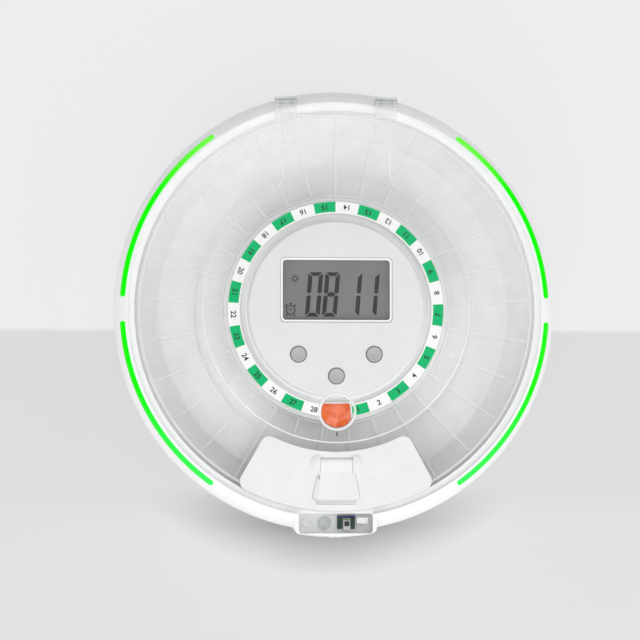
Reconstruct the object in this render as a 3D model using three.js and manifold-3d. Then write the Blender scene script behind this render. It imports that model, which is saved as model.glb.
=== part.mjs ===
import * as THREE from 'three';
import { mergeVertices } from 'three/addons/utils/BufferGeometryUtils.js';
import Module from 'manifold-3d';

// Electronic pill box: a round casing with a turning tray of dose places under a clear locking lid.
// Millimetres, +Z up. The origin is on the tray's axis at the table. The front is -Y, the hinge is at +Y.

const wasm = await Module();
wasm.setup();

const degree = Math.PI / 180;
const front = -90 * degree;

// Driving dimensions

const gap = {
  seat: 0.3, // between two pieces that rest on each other
  slide: 0.3, // beside a piece that slides or turns
  pin: 0.2, // round a hinge pin, on the radius
  tray: 1.4, // between the tray and the wall of its well
  lid: 1.2, // between the console and the lid above it
  overrun: 1, // how far a cutting solid passes the face that it cuts
};

const places = { count: 29 }; // 28 doses and the home place
places.pitch = (2 * Math.PI) / places.count;

// Sides of a full circle on round pieces, and the radii from which an outline's arcs get the finer counts.
const smooth = { large: 40, medium: 20, small: 12, largeFrom: 30, mediumFrom: 6 };

// Base

const shell = { inset: 12, wall: 2.4, deckThickness: 2, wireHole: 14, ledgeWidth: 3.1, ledgeWall: 2.1 };

const ring = { width: 7.3, lip: 0.7, lipHeight: 1.7, ledgeDrop: 0.7, crownShare: 0.58 };

const rib = { radius: 72, width: 2, height: 1.7 };

const foot = { radius: 8, height: 2, inset: 13, count: 4, soleShare: 0.86, bevelShare: 0.3 };

const batteries = {
  radius: 7.1,
  length: 49.5,
  nub: 1,
  nubRadius: 2.7,
  pitch: 14.6,
  count: 4,
  drop: 0.8,
};

const contact = { thickness: 0.8, height: 9, domeRadius: 3, domeTop: 1.5, domeHeight: 0.8, air: 0.4 };

const cover = { thickness: 2.6, frame: 3.5, frameWidth: 5, bayWall: 1.5, roof: 1.4 };

const door = {
  plate: 0.9,
  tongue: 0.7,
  lip: 1.4,
  travel: 7,
  grip: 1.2,
  gripWidth: 14,
  gripDepth: 0.4,
  grips: 3,
};

const screw = {
  inset: 8.5,
  headRadius: 3,
  headHeight: 1.2,
  shankRadius: 1.4,
  count: 4,
  drop: 0.3,
  wall: 1.6,
  slot: 0.7,
};

const pipe = {
  inset: 1.6,
  width: 2.4,
  endShare: 0.45,
  air: 0.15,
  height: 5.6,
  proud: 0.3,
  starts: 3.3 * degree,
  ends: 54.9 * degree,
};

const lightBoard = {
  thickness: 1.2,
  air: 0.4,
  below: 0.7,
  corner: 1,
  start: -59 * degree,
  end: 239 * degree,
};

// Drive

const gear = {
  ringTeeth: 58,
  pinionTeeth: 10,
  module: 1.7,
  width: 4,
  rim: 2.36,
  lift: 1.2,
  shaftRadius: 1.5,
  tipShare: 0.88, // addendum as a share of the module
  rootShare: 1.2, // dedendum as a share of the module
  wideShare: 0.25, // half of a tooth at its root, as a share of the pitch
  narrowShare: 0.1, // half of a tooth at its tip, as a share of the pitch
};
gear.ringPitchRadius = (gear.ringTeeth * gear.module) / 2;
gear.pinionPitchRadius = (gear.pinionTeeth * gear.module) / 2;
gear.ringTip = gear.ringPitchRadius - gear.tipShare * gear.module;
gear.ringRoot = gear.ringPitchRadius + gear.rootShare * gear.module;

const motor = {
  radius: 14,
  height: 14,
  offset: 8,
  earRadius: 3.5,
  earHole: 1.7,
  earReach: 17.5,
  earThickness: 0.8,
  plugWidth: 14,
  plugDepth: 3,
  plugDrop: 3.5,
};

// Console

const column = {
  air: 2.4,
  wall: 2.2,
  foot: 2,
  footWidth: 5,
  boardLedge: 3.2,
  boardLedgeHeight: 2,
  boardDrop: 6.9,
  lip: 0.8, // thickness of the lip that closes the gap to the tray
};
column.radius = gear.ringTip - column.air;
column.inner = column.radius - column.wall;

const cap = { inset: 1.7, wall: 2, height: 4.5, top: 2, round: 1.2, roundShare: 0.3 };

const display = {
  width: 55,
  depth: 31.7,
  place: 9.3,
  corner: 1.5,
  rim: 1,
  thickness: 1.1,
  moduleThickness: 3.2,
};

const button = {
  radius: 3.75,
  proud: 0.8,
  bevel: 0.25,
  stroke: 0.7,
  flange: 4.9,
  flangeHeight: 1.4,
  stem: 3,
  stemLength: 0.8,
  spread: 18.7,
  row: 22.5,
  frontRow: 33.2,
};
button.places = [
  ['button_left', -button.spread, -button.row],
  ['button_right', button.spread, -button.row],
  ['button_front', 0, -button.frontRow],
];

const pad = { thickness: 1.1, dome: 3.2, domeFoot: 0.3, domeTop: 2.4, side: 5.5, air: 0.1 };

const board = { thickness: 1.6, air: 0.5, notch: 2 };

const buzzer = { radius: 7, height: 5.5, hole: 1.2, holeDepth: 1, x: -20, y: 6 };

// Tray

const tray = {
  rimRadius: 98.2,
  flare: 8.2, // how far the rim stands out past the floor
  wall: 1.6,
  floor: 1.8,
  depth: 15.8,
  hubWall: 1.6,
  hubRise: 2.6,
  flange: 1.4,
};
tray.floorRadius = tray.rimRadius - tray.flare;
tray.hubRadius = gear.ringRoot + gear.rim + gap.seat;
tray.hubOuter = tray.hubRadius + tray.hubWall;
tray.flangeRadius = gear.ringTip;

const divider = { thickness: 1.2, hub: 1.2, drop: 0.2, gap: 0.35 };

const doseRing = { air: 0.2, inset: 0.5, thickness: 0.8 };
doseRing.inner = tray.flangeRadius + doseRing.air;
doseRing.outer = tray.hubRadius - doseRing.inset;
doseRing.middle = (doseRing.inner + doseRing.outer) / 2;

const marker = { width: 10.6, inset: 0.4, thickness: 0.6 };
marker.inner = doseRing.inner;
marker.outer = tray.hubOuter + gap.seat + divider.hub - marker.inset;

// Lid

const lid = {
  rimGap: 0.5,
  rimWidth: 3.6,
  rimHeight: 3,
  wall: 1.8,
  plateauRadius: 64.9,
  bevel: 1.4,
  step: 1.4,
  rise: 7.1,
};

const neck = { width: 54, fillet: 10, start: 1.1, inset: 1.2, drop: 3.6 };

const hinge = {
  reach: 0.7,
  lift: 3,
  spacing: 50,
  armWidth: 5.4,
  earWidth: 2.5,
  knuckle: 2.5,
  ear: 2.6,
  pinRadius: 1.3,
  root: 5.6,
};

const lens = { radius: 9.3, curveRadius: 8.2, rimHeight: 1.6, seat: 0.8, rise: 3.6, bevel: 0.4 };

const panel = { inset: 4.2, reach: 1, half: 29.5 * degree, corner: 4.5, proud: 0.5, thickness: 2.2 };

const gate = {
  innerHalf: 7.8,
  earHalf: 9.6,
  outerHalf: 12,
  neck: 6.8,
  inset: 4.7,
  outerInset: 2.7,
  thickness: 1.5,
  barrel: 1.7,
  pinRadius: 0.8,
  earWidth: 2.2,
  lipHalf: 9.4,
  lipDepth: 2,
  lipHeight: 2,
};

// Lock block at the front

const latch = {
  half: 20.5,
  bulge: 3,
  wall: 2.2,
  front: 2.4,
  rim: 1,
  depth: 8.4,
  floor: 1.6,
  lift: 14,
  chin: 6,
  brow: 9,
  window: 1.8,
  air: 0.3,
  chinWall: 1.4,
};

const lock = { radius: 4, faceRadius: 5, face: 0.6, lift: 12, keyWidth: 1.2, keyHeight: 5, keyDepth: 3 };

const hook = {
  place: 11.4,
  width: 3.8,
  thickness: 1.3,
  toe: 1.6,
  toeInset: 1.5,
  swing: 1.9,
  foot: 0.8,
  footHeight: 1.2,
};

const cam = { thickness: 1.2, air: 0.5, overlap: 1.7, lead: 12 * degree, trail: 30 * degree };
cam.length = hook.place + hook.toeInset + cam.overlap;

const spring = { place: -5.2, radius: 3.3, wire: 0.7, curls: 4.5, steps: 8, sides: 5 };

const lidSwitch = {
  place: 1.1,
  width: 9,
  depth: 6.3,
  height: 4,
  slot: 4.2,
  leg: 1.8,
  board: 1.1,
  boardWidth: 9.6,
  boardDepth: 8,
};

// Levels and radii that follow from them

const level = { casing: foot.height };
level.coverTop = level.casing + cover.thickness;
level.frameTop = level.casing + cover.frame;
level.doorTop = level.casing + door.plate + door.tongue;
level.batteryAxis = level.doorTop + batteries.drop + batteries.radius;
level.bayRoof = level.batteryAxis + batteries.radius + gap.seat;
level.bayTop = level.bayRoof + cover.roof;
level.deckUnder = level.bayTop + 2 * gap.seat;
level.deck = level.deckUnder + shell.deckThickness;
level.trayUnder = level.deck + rib.height + gap.seat;
level.trayFloor = level.trayUnder + tray.floor;
level.trayRim = level.trayFloor + tray.depth;
level.trayHub = level.trayRim + tray.hubRise;
level.columnLip = level.trayHub - tray.flange - gap.seat;
level.ledge = level.trayRim - ring.ledgeDrop;
level.lip = level.ledge + ring.lipHeight;
level.lidUnder = level.ledge + gap.seat;
level.lidRim = level.lidUnder + lid.rimHeight;
level.plateau = level.lidRim + lid.rise;
level.capTop = level.plateau - lid.wall - gap.lid;
level.capUnder = level.capTop - cap.height;
level.columnTop = level.capUnder - gap.seat;
level.board = level.columnTop - column.boardDrop;
level.boardTop = level.board + board.thickness;
level.hinge = level.lip + hinge.lift;
level.gear = level.deck + gear.lift;
level.pipeFoot = level.ledge - pipe.height;
level.window = level.lidUnder + gap.seat;
level.blockTop = level.window + latch.window + gap.seat;
level.pocket = level.window - latch.depth;
level.pocketUnder = level.pocket - latch.floor;
level.block = level.casing + latch.lift;
level.lock = level.block + lock.lift;
level.below = -gap.overrun; // under and over everything, for cuts that go right through
level.above = level.plateau + lens.rise + gap.overrun;

const radius = { well: tray.rimRadius + gap.tray };
radius.ledge = radius.well + shell.ledgeWidth;
radius.body = radius.ledge + ring.width;
radius.crown = radius.ledge + ring.crownShare * ring.width;
radius.lid = radius.ledge - lid.rimGap;
radius.lidInner = radius.lid - lid.rimWidth;
radius.plateauFoot = lid.plateauRadius + lid.bevel;
radius.wellOuter = radius.well + shell.ledgeWall;
radius.bottom = radius.body - shell.inset;
radius.cover = radius.bottom - gap.seat;
radius.hinge = radius.ledge + hinge.reach;
radius.shaft = gear.ringPitchRadius - gear.pinionPitchRadius;
radius.columnLip = tray.flangeRadius - gap.slide;
radius.pipe = radius.ledge + pipe.inset;
radius.panelInner = radius.plateauFoot + panel.inset;
radius.panelOuter = radius.lidInner + panel.reach;
radius.gateHinge = radius.panelInner + gate.inset;
radius.gateNeck = radius.gateHinge + gate.neck;
radius.gateOuter = radius.panelOuter - gate.outerInset;
radius.block = radius.body + latch.bulge;
radius.pocketBack = radius.wellOuter + gap.slide;
radius.pocketFront = radius.block - latch.front;
radius.camBack = radius.wellOuter + cam.air;
radius.camFront = radius.camBack + cam.thickness;
radius.lockFront = radius.block - lock.face;
radius.neckEnd = radius.lidInner - neck.inset;

// Solids from three.js geometry

function solid(geometry) {
  const bare = geometry.clone();
  bare.deleteAttribute('normal');
  bare.deleteAttribute('uv');
  const merged = mergeVertices(bare);
  const corners = merged.index.array;
  const kept = [];
  for (let i = 0; i < corners.length; i += 3) {
    const [a, b, c] = [corners[i], corners[i + 1], corners[i + 2]];
    if (a !== b && b !== c && c !== a) kept.push(a, b, c);
  }
  const vertProperties = new Float32Array(merged.attributes.position.array);
  return new wasm.Manifold(new wasm.Mesh({ numProp: 3, vertProperties, triVerts: new Uint32Array(kept) }));
}

function geometryOf(body) {
  const { vertProperties, triVerts } = body.getMesh();
  const geometry = new THREE.BufferGeometry();
  geometry.setAttribute('position', new THREE.BufferAttribute(new Float32Array(vertProperties), 3));
  geometry.setIndex(new THREE.BufferAttribute(new Uint32Array(triVerts), 1));
  geometry.computeVertexNormals();
  return geometry;
}

function join(...bodies) {
  return bodies.reduce((whole, next) => whole.add(next));
}

function cut(body, ...tools) {
  return tools.reduce((rest, tool) => rest.subtract(tool), body);
}

// Turns a profile of [radius, height] points round the Z axis.
function turned(profile, steps = smooth.large) {
  const points = profile.map(([r, z]) => new THREE.Vector2(r, z));
  if (THREE.ShapeUtils.area(points) < 0) points.reverse();
  if (points[0].x > 0 || points.at(-1).x > 0) points.push(points[0].clone());
  return solid(new THREE.LatheGeometry(points, steps).rotateX(Math.PI / 2));
}

function disc(r, from, to, steps = smooth.medium) {
  return turned([[0, from], [r, from], [r, to], [0, to]], steps);
}

function hoop(inner, outer, from, to, steps = smooth.large) {
  return turned([[inner, from], [outer, from], [outer, to], [inner, to]], steps);
}

// Extrudes an outline that lies in XY from one height to another.
function prism(outline, from, to) {
  const shape = new THREE.Shape(outline.map(([x, y]) => new THREE.Vector2(x, y)));
  const geometry = new THREE.ExtrudeGeometry(shape, { depth: to - from, bevelEnabled: false });
  return solid(geometry.translate(0, 0, from));
}

// Extrudes an outline that lies in YZ from one X to another.
function slab(outline, from, to) {
  const toSide = new THREE.Matrix4().set(0, 0, 1, from, 1, 0, 0, 0, 0, 1, 0, 0, 0, 0, 0, 1);
  const shape = new THREE.Shape(outline.map(([y, z]) => new THREE.Vector2(y, z)));
  const geometry = new THREE.ExtrudeGeometry(shape, { depth: to - from, bevelEnabled: false });
  return solid(geometry.applyMatrix4(toSide));
}

function block([x0, x1], [y0, y1], [z0, z1]) {
  const geometry = new THREE.BoxGeometry(x1 - x0, y1 - y0, z1 - z0);
  return solid(geometry.translate((x0 + x1) / 2, (y0 + y1) / 2, (z0 + z1) / 2));
}

// A rod along X or Y, centred on the two other coordinates that are given.
function rodAlongX(r, [from, to], y, z, steps = smooth.small) {
  const geometry = new THREE.CylinderGeometry(r, r, to - from, steps).rotateZ(Math.PI / 2);
  return solid(geometry.translate((from + to) / 2, y, z));
}

function rodAlongY(r, [from, to], x, z, steps = smooth.medium) {
  const geometry = new THREE.CylinderGeometry(r, r, to - from, steps);
  return solid(geometry.translate(x, (from + to) / 2, z));
}

function polar(r, angle) {
  return [r * Math.cos(angle), r * Math.sin(angle)];
}

// Points along an arc, with as many steps as a circle of that radius has in the same angle.
function arc([x, y], r, from, to) {
  const sides = r >= smooth.largeFrom ? smooth.large : r >= smooth.mediumFrom ? smooth.medium : smooth.small;
  const steps = Math.max(2, Math.round((Math.abs(to - from) / (2 * Math.PI)) * sides));
  return Array.from({ length: steps + 1 }, (_, i) => {
    const angle = from + ((to - from) * i) / steps;
    return [x + r * Math.cos(angle), y + r * Math.sin(angle)];
  });
}

function roundedRectangle(width, depth, corner, x = 0, y = 0) {
  const [w, d] = [width / 2 - corner, depth / 2 - corner];
  const quarter = Math.PI / 2;
  return [
    ...arc([x + w, y + d], corner, 0, quarter),
    ...arc([x - w, y + d], corner, quarter, 2 * quarter),
    ...arc([x - w, y - d], corner, 2 * quarter, 3 * quarter),
    ...arc([x + w, y - d], corner, 3 * quarter, 4 * quarter),
  ];
}

// A band between two radii and two angles, with corners of the given radius.
function sector(inner, outer, from, to, corner) {
  const outerIn = Math.asin(corner / (outer - corner));
  const innerIn = Math.asin(corner / (inner + corner));
  const quarter = Math.PI / 2;
  return [
    ...arc(polar(outer - corner, from + outerIn), corner, from - quarter, from + outerIn),
    ...arc([0, 0], outer, from + outerIn, to - outerIn).slice(1, -1),
    ...arc(polar(outer - corner, to - outerIn), corner, to - outerIn, to + quarter),
    ...arc(polar(inner + corner, to - innerIn), corner, to + quarter, to + 2 * quarter - innerIn),
    ...arc([0, 0], inner, to - innerIn, from + innerIn).slice(1, -1),
    ...arc(polar(inner + corner, from + innerIn), corner, from + 2 * quarter + innerIn, from + 3 * quarter),
  ];
}

function ringPlaces(count, r, offset = 0) {
  return Array.from({ length: count }, (_, i) => polar(r, offset + (i * 2 * Math.PI) / count));
}

// Finishes

const finishes = {
  white: { color: 0xf4f5f4, roughness: 0.38, metalness: 0 },
  clear: { color: 0xe9eef0, roughness: 0.06, metalness: 0, transparent: true, opacity: 0.35 },
  frosted: { color: 0xdfe2e3, roughness: 0.45, metalness: 0 },
  grey: { color: 0xa9abac, roughness: 0.5, metalness: 0 },
  light: { color: 0x2bdc1e, roughness: 0.3, metalness: 0 },
  orange: { color: 0xe8641c, roughness: 0.45, metalness: 0 },
  print: { color: 0x16d676, roughness: 0.5, metalness: 0 },
  glass: { color: 0x8a8d8b, roughness: 0.12, metalness: 0 },
  rubber: { color: 0x3a3b3c, roughness: 0.8, metalness: 0 },
  steel: { color: 0xb9bdc0, roughness: 0.3, metalness: 1 },
  circuit: { color: 0x14513a, roughness: 0.45, metalness: 0 },
  black: { color: 0x1c1d1e, roughness: 0.5, metalness: 0 },
  battery: { color: 0x4a5560, roughness: 0.35, metalness: 0 },
};

function piece(group, name, body, finish, place = [0, 0, 0]) {
  const mesh = new THREE.Mesh(geometryOf(body), new THREE.MeshStandardMaterial(finishes[finish]));
  mesh.name = name;
  mesh.position.set(...place);
  group.add(mesh);
  return mesh;
}

// Base: the shell with its ring top, well, deck, lock block and hinge ears

// Shares of the way out from the bottom's edge and up from the table's side, on the outside of the bowl.
const bowlShares = [[0.5, 0.06], [0.8, 0.25], [0.955, 0.5], [1, 0.7], [0.965, 0.83], [0.87, 0.9]];

function shellProfile() {
  const height = level.lip - level.casing;
  const outer = bowlShares.map(([out, up]) => [
    radius.bottom + out * shell.inset,
    level.casing + up * height,
  ]);
  const inner = outer.slice(1, -1).map(([r, z]) => [r - shell.wall, z]).reverse();
  return [
    [radius.bottom, level.casing],
    [radius.bottom + shell.wall, level.casing],
    ...outer,
    [radius.crown, level.ledge],
    [radius.ledge + ring.lip, level.lip],
    [radius.ledge, level.lip],
    [radius.ledge, level.ledge],
    [radius.well, level.ledge],
    [radius.well, level.deck],
    [shell.wireHole, level.deck],
    [shell.wireHole, level.deckUnder],
    [radius.wellOuter, level.deckUnder],
    [radius.wellOuter, level.ledge - shell.wall],
    [radius.crown - shell.wall, level.ledge - shell.wall],
    ...inner,
    [radius.bottom, level.coverTop + gap.seat],
  ];
}

function lockBlock() {
  const back = radius.well + gap.slide;
  const side = [
    [-back, level.block],
    [-radius.block + latch.chin, level.block],
    [-radius.block, level.block + latch.brow],
    [-radius.block, level.blockTop - latch.rim],
    [-radius.block + latch.rim, level.blockTop],
    [-back, level.blockTop],
  ];
  const outside = cut(
    disc(radius.block, level.below, level.above, smooth.large),
    disc(back, level.below, level.above + gap.overrun, smooth.large),
    disc(radius.ledge, level.ledge, level.above + gap.overrun, smooth.large));
  return slab(side, -latch.half, latch.half).intersect(outside);
}

const latchInside = latch.half - latch.wall;

function lockPocket() {
  const wide = [-latchInside, latchInside];
  return join(
    block(wide, [-radius.pocketFront, -radius.pocketBack], [level.pocket, level.ledge]),
    block(wide, [-radius.pocketFront, -radius.well], [level.ledge, level.above]));
}

function lockHollow() {
  const low = level.block + latch.floor;
  return slab([
    [-radius.pocketBack, low],
    [-radius.block + latch.chin + latch.chinWall, low],
    [-radius.pocketFront, level.block + latch.brow + latch.chinWall],
    [-radius.pocketFront, level.pocketUnder],
    [-radius.pocketBack, level.pocketUnder],
  ], -latchInside, latchInside);
}

// The cam turns behind the block, so the block's floor ends in front of it.
function camSlot() {
  const low = level.block - gap.overrun;
  const high = level.block + latch.floor + gap.overrun;
  return block([-latchInside, latchInside], [-radius.camFront - gap.slide, -radius.well], [low, high]);
}

function hookSlot() {
  const reach = radius.camFront + gap.slide + hook.thickness + hook.swing;
  return block(
    [hook.place - gap.slide, hook.place + hook.width + gap.slide],
    [-reach, -radius.pocketBack],
    [level.pocketUnder - gap.overrun, level.pocket + gap.overrun]);
}

function ear(from, to) {
  const { ear: r, root } = hinge;
  const low = level.hinge - root - r;
  const shape = [
    [radius.hinge - r, low],
    [radius.hinge + r, low],
    ...arc([radius.hinge, level.hinge], r, 0, Math.PI),
  ];
  const inside = disc(radius.body - gap.seat, level.below, level.above, smooth.large);
  return slab(shape, from, to).intersect(inside);
}

function hingeEars() {
  const inner = hinge.armWidth / 2 + gap.slide;
  const outer = inner + hinge.earWidth;
  return [-1, 1].flatMap((side) => {
    const middle = (side * hinge.spacing) / 2;
    return [ear(middle - outer, middle - inner), ear(middle + inner, middle + outer)];
  });
}

function pinHole(side) {
  const middle = (side * hinge.spacing) / 2;
  const half = hinge.armWidth / 2 + hinge.earWidth + gap.overrun;
  return rodAlongX(hinge.pinRadius + gap.pin, [middle - half, middle + half], radius.hinge, level.hinge);
}

// The four light pipes, by their start and end round the ring.
const pipeTurns = [
  [pipe.starts, pipe.ends],
  [Math.PI - pipe.ends, Math.PI - pipe.starts],
  [Math.PI + pipe.starts, Math.PI + pipe.ends],
  [-pipe.ends, -pipe.starts],
];

function pipeOutline([from, to], air) {
  const wide = air / radius.pipe;
  const end = pipe.endShare * pipe.width + air;
  return sector(radius.pipe - air, radius.pipe + pipe.width + air, from - wide, to + wide, end);
}

const screwPlaces = ringPlaces(screw.count, radius.cover - screw.inset, Math.PI / screw.count);
const footPlaces = ringPlaces(foot.count, radius.cover - foot.inset);

function screwPost([x, y]) {
  const r = screw.shankRadius + gap.slide + screw.wall;
  return disc(r, level.coverTop + gap.seat, level.deck - gap.seat, smooth.small).translate(x, y, 0);
}

function screwHole([x, y]) {
  const hole = disc(screw.shankRadius + gap.slide, level.below, level.deckUnder - gap.seat, smooth.small);
  return hole.translate(x, y, 0);
}

function trayRib() {
  return hoop(rib.radius - rib.width, rib.radius, level.deck - gap.seat, level.deck + rib.height);
}

function baseShell() {
  const posts = screwPlaces.map(screwPost);
  const whole = join(turned(shellProfile()), lockBlock(), ...hingeEars(), trayRib(), ...posts);
  const pipes = pipeTurns.map((turns) =>
    prism(pipeOutline(turns, pipe.air), level.pipeFoot - gap.overrun, level.lip + gap.overrun));
  const shaft = disc(gear.shaftRadius + gap.lid, level.below, level.deck + gap.overrun, smooth.small);
  const from = -radius.block - gap.overrun;
  const barrel = rodAlongY(lock.radius + gap.slide, [from, -radius.pocketBack], 0, level.lock);
  const face = rodAlongY(lock.faceRadius + gap.slide, [from, gap.slide - radius.lockFront], 0, level.lock);
  return cut(
    whole, lockPocket(), lockHollow(), camSlot(), hookSlot(), barrel, face, pinHole(-1), pinHole(1), ...pipes,
    shaft.translate(0, radius.shaft, 0), ...screwPlaces.map(screwHole));
}

function lightPipe(turns) {
  const slope = ring.lipHeight / (radius.crown - radius.ledge - ring.lip);
  const top = (r) => level.lip - (r - radius.ledge - ring.lip) * slope + pipe.proud;
  const inner = radius.pipe - gap.overrun;
  const outer = radius.pipe + pipe.width + gap.overrun;
  const whole = turned([
    [inner, level.pipeFoot],
    [outer, level.pipeFoot],
    [outer, top(outer)],
    [inner, top(inner)],
  ]);
  return whole.intersect(prism(pipeOutline(turns, 0), level.below, level.above));
}

function lightBoardRing() {
  const { thickness, air, below, corner, start, end } = lightBoard;
  const inner = radius.wellOuter + air;
  const outer = radius.body - shell.wall - air - gap.seat;
  const top = level.pipeFoot - below;
  return prism(sector(inner, outer, start, end, corner), top - thickness, top);
}

// Bottom cover with its battery bay, the door that slides in it, and the batteries

const contactDepth = contact.thickness + contact.domeHeight + contact.air;

const bay = {
  halfWidth: (batteries.count * batteries.pitch) / 2 + gap.seat,
  halfDepth: (batteries.length + batteries.nub) / 2 + contactDepth + gap.seat,
};

const doorHalf = { width: bay.halfWidth + door.lip, depth: bay.halfDepth + door.lip };

// The door's own shape, or with air the space that it slides in.
function doorSpace(air) {
  const back = doorHalf.depth + air;
  const ahead = -doorHalf.depth - air - (air > 0 ? door.travel : 0);
  const wide = doorHalf.width + air;
  const narrow = bay.halfWidth + air;
  const split = level.casing + door.plate;
  return join(
    block([-narrow, narrow], [ahead, back], [level.casing - (air > 0 ? gap.overrun : 0), split]),
    block([-wide, wide], [ahead, back], [split - air, level.doorTop + air]));
}

function bottomCover() {
  const { halfWidth, halfDepth } = bay;
  const wall = cover.bayWall;
  const edge = cover.frameWidth;
  const plate = disc(radius.cover, level.casing, level.coverTop, smooth.large);
  const frame = block(
    [-doorHalf.width - edge, doorHalf.width + edge],
    [-doorHalf.depth - door.travel - edge, doorHalf.depth + edge],
    [level.casing, level.frameTop],
  );
  const box = block(
    [-halfWidth - wall, halfWidth + wall],
    [-halfDepth - wall, halfDepth + wall],
    [level.casing, level.bayTop],
  );
  const inside = block([-halfWidth, halfWidth], [-halfDepth, halfDepth], [level.below, level.bayRoof]);
  const headTop = level.casing + screw.drop + screw.headHeight + gap.seat;
  const heads = screwPlaces.map(([x, y]) => join(
    disc(screw.headRadius + gap.slide, level.below, headTop, smooth.small),
    disc(screw.shankRadius + gap.slide, level.below, level.above, smooth.small),
  ).translate(x, y, 0));
  return cut(join(plate, frame, box), inside, doorSpace(gap.slide), ...heads);
}

function batteryDoor() {
  const wide = [-door.gripWidth, door.gripWidth];
  const high = [level.below, level.casing + door.gripDepth];
  const grooves = Array.from({ length: door.grips }, (_, i) => {
    const y = -doorHalf.depth + door.gripWidth / 2 + 2 * i * door.grip;
    return block(wide, [y, y + door.grip], high);
  });
  return cut(doorSpace(0), ...grooves);
}

function battery() {
  const { radius: r, length, nub, nubRadius } = batteries;
  const half = (length + nub) / 2;
  const shoulder = length - half;
  return turned([
    [0, -half],
    [r, -half],
    [r, shoulder],
    [nubRadius, shoulder],
    [nubRadius, half],
    [0, half],
  ], smooth.medium).rotate([90, 0, 0]);
}

function contactPlate() {
  const { thickness, height, domeRadius, domeTop, domeHeight } = contact;
  const half = bay.halfWidth - gap.seat;
  const plate = block([-half, half], [0, thickness], [-height / 2, height / 2]);
  const domes = Array.from({ length: batteries.count }, (_, i) => {
    const x = (i - (batteries.count - 1) / 2) * batteries.pitch;
    const cone = new THREE.CylinderGeometry(domeRadius, domeTop, domeHeight + thickness / 2, smooth.small);
    return solid(cone.translate(x, -(domeHeight - thickness / 2) / 2, 0));
  });
  return join(plate, ...domes);
}

function caseScrew() {
  const { headRadius, headHeight, shankRadius, drop } = screw;
  const tip = level.deckUnder - level.casing - drop - 2 * gap.seat;
  const whole = turned([
    [0, 0],
    [headRadius, 0],
    [headRadius, headHeight],
    [shankRadius, headHeight],
    [shankRadius, tip - shankRadius],
    [0, tip],
  ], smooth.small);
  const half = screw.slot / 2;
  const slot = (x, y) => block([-x, x], [-y, y], [-gap.overrun, headHeight / 2]);
  return cut(whole, slot(shankRadius, half), slot(half, shankRadius));
}

function rubberFoot() {
  const { radius: r, height, soleShare, bevelShare } = foot;
  return turned([
    [0, 0],
    [soleShare * r, 0],
    [r, bevelShare * height],
    [r, height],
    [0, height],
  ], smooth.medium);
}

// Console: the column, the boards and the cap with its display and buttons

function columnTube() {
  const { radius: r, inner, foot: low, footWidth, boardLedge, boardLedgeHeight, lip } = column;
  const seat = level.board - gap.seat;
  const tube = turned([
    [inner - footWidth, level.deck],
    [r, level.deck],
    [r, level.columnLip - lip],
    [radius.columnLip, level.columnLip - lip],
    [radius.columnLip, level.columnLip],
    [r, level.columnLip],
    [r, level.columnTop],
    [inner, level.columnTop],
    [inner, seat],
    [inner - boardLedge, seat],
    [inner - boardLedge, seat - boardLedgeHeight],
    [inner, seat - boardLedgeHeight - boardLedge],
    [inner, level.deck + low],
    [inner - footWidth, level.deck + low],
  ]);
  const reach = gear.pinionPitchRadius + gear.module + gap.lid;
  const window = disc(reach, level.deck - gap.overrun, level.gear + gear.width + gap.lid);
  return cut(tube, window.translate(0, radius.shaft, 0));
}

function consoleCap() {
  const { inset, wall, top, round, roundShare } = cap;
  const r = column.radius - inset;
  const dome = turned([
    [0, level.capTop - top],
    [r - wall, level.capTop - top],
    [r - wall, level.capUnder],
    [r, level.capUnder],
    [r, level.capTop - round],
    [r - roundShare * round, level.capTop - roundShare * round],
    [r - round, level.capTop],
    [0, level.capTop],
  ]);
  const { width, depth, place, corner, rim, thickness } = display;
  const recess = roundedRectangle(width + 2 * gap.seat, depth + 2 * gap.seat, corner + gap.seat, 0, place);
  const opening = roundedRectangle(width - 2 * rim, depth - 2 * rim, corner, 0, place);
  const floor = level.capTop - thickness;
  const holes = button.places.map(([, x, y]) =>
    disc(button.radius + gap.slide, level.below, level.above, smooth.medium).translate(x, y, 0));
  return cut(dome, prism(recess, floor, level.above), prism(opening, level.below, level.above), ...holes);
}

function displayWindow() {
  const { width, depth, corner, thickness } = display;
  return prism(roundedRectangle(width, depth, corner), 0, thickness);
}

function displayModule() {
  const { width, depth, moduleThickness, corner } = display;
  return prism(roundedRectangle(width, depth, corner / 2), -moduleThickness, 0);
}

function pushButton() {
  const { radius: r, proud, bevel, flange, flangeHeight, stem, stemLength } = button;
  const under = -cap.top - gap.seat;
  return turned([
    [0, under - flangeHeight - stemLength],
    [stem, under - flangeHeight - stemLength],
    [stem, under - flangeHeight],
    [flange, under - flangeHeight],
    [flange, under],
    [r, under],
    [r, proud - bevel],
    [r - bevel, proud],
    [0, proud],
  ], smooth.medium);
}

const buttonFoot = level.capTop - cap.top - gap.seat - button.flangeHeight - button.stemLength;

function buttonPad() {
  const low = level.boardTop + gap.seat;
  const [left, right, ahead] = button.places;
  const { side, dome, domeFoot, domeTop, thickness } = pad;
  const outline = [
    [left[1] - side, left[2] + side],
    [left[1] - side, left[2] - side],
    [ahead[1] - side, ahead[2] - side],
    [ahead[1] + side, ahead[2] - side],
    [right[1] + side, right[2] - side],
    [right[1] + side, right[2] + side],
  ];
  const top = buttonFoot - button.stroke - pad.air;
  const domes = button.places.map(([, x, y]) => turned([
    [0, low], [dome, low], [dome, low + thickness + domeFoot], [domeTop, top], [0, top],
  ], smooth.small).translate(x, y, 0));
  return join(prism(outline, low, low + thickness), ...domes);
}

function mainBoard() {
  const r = column.inner - board.air;
  const { notch: size } = board;
  const notch = block([-size, size], [r - size, r + gap.overrun], [level.below, level.above]);
  return cut(disc(r, level.board, level.boardTop, smooth.large), notch);
}

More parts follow.
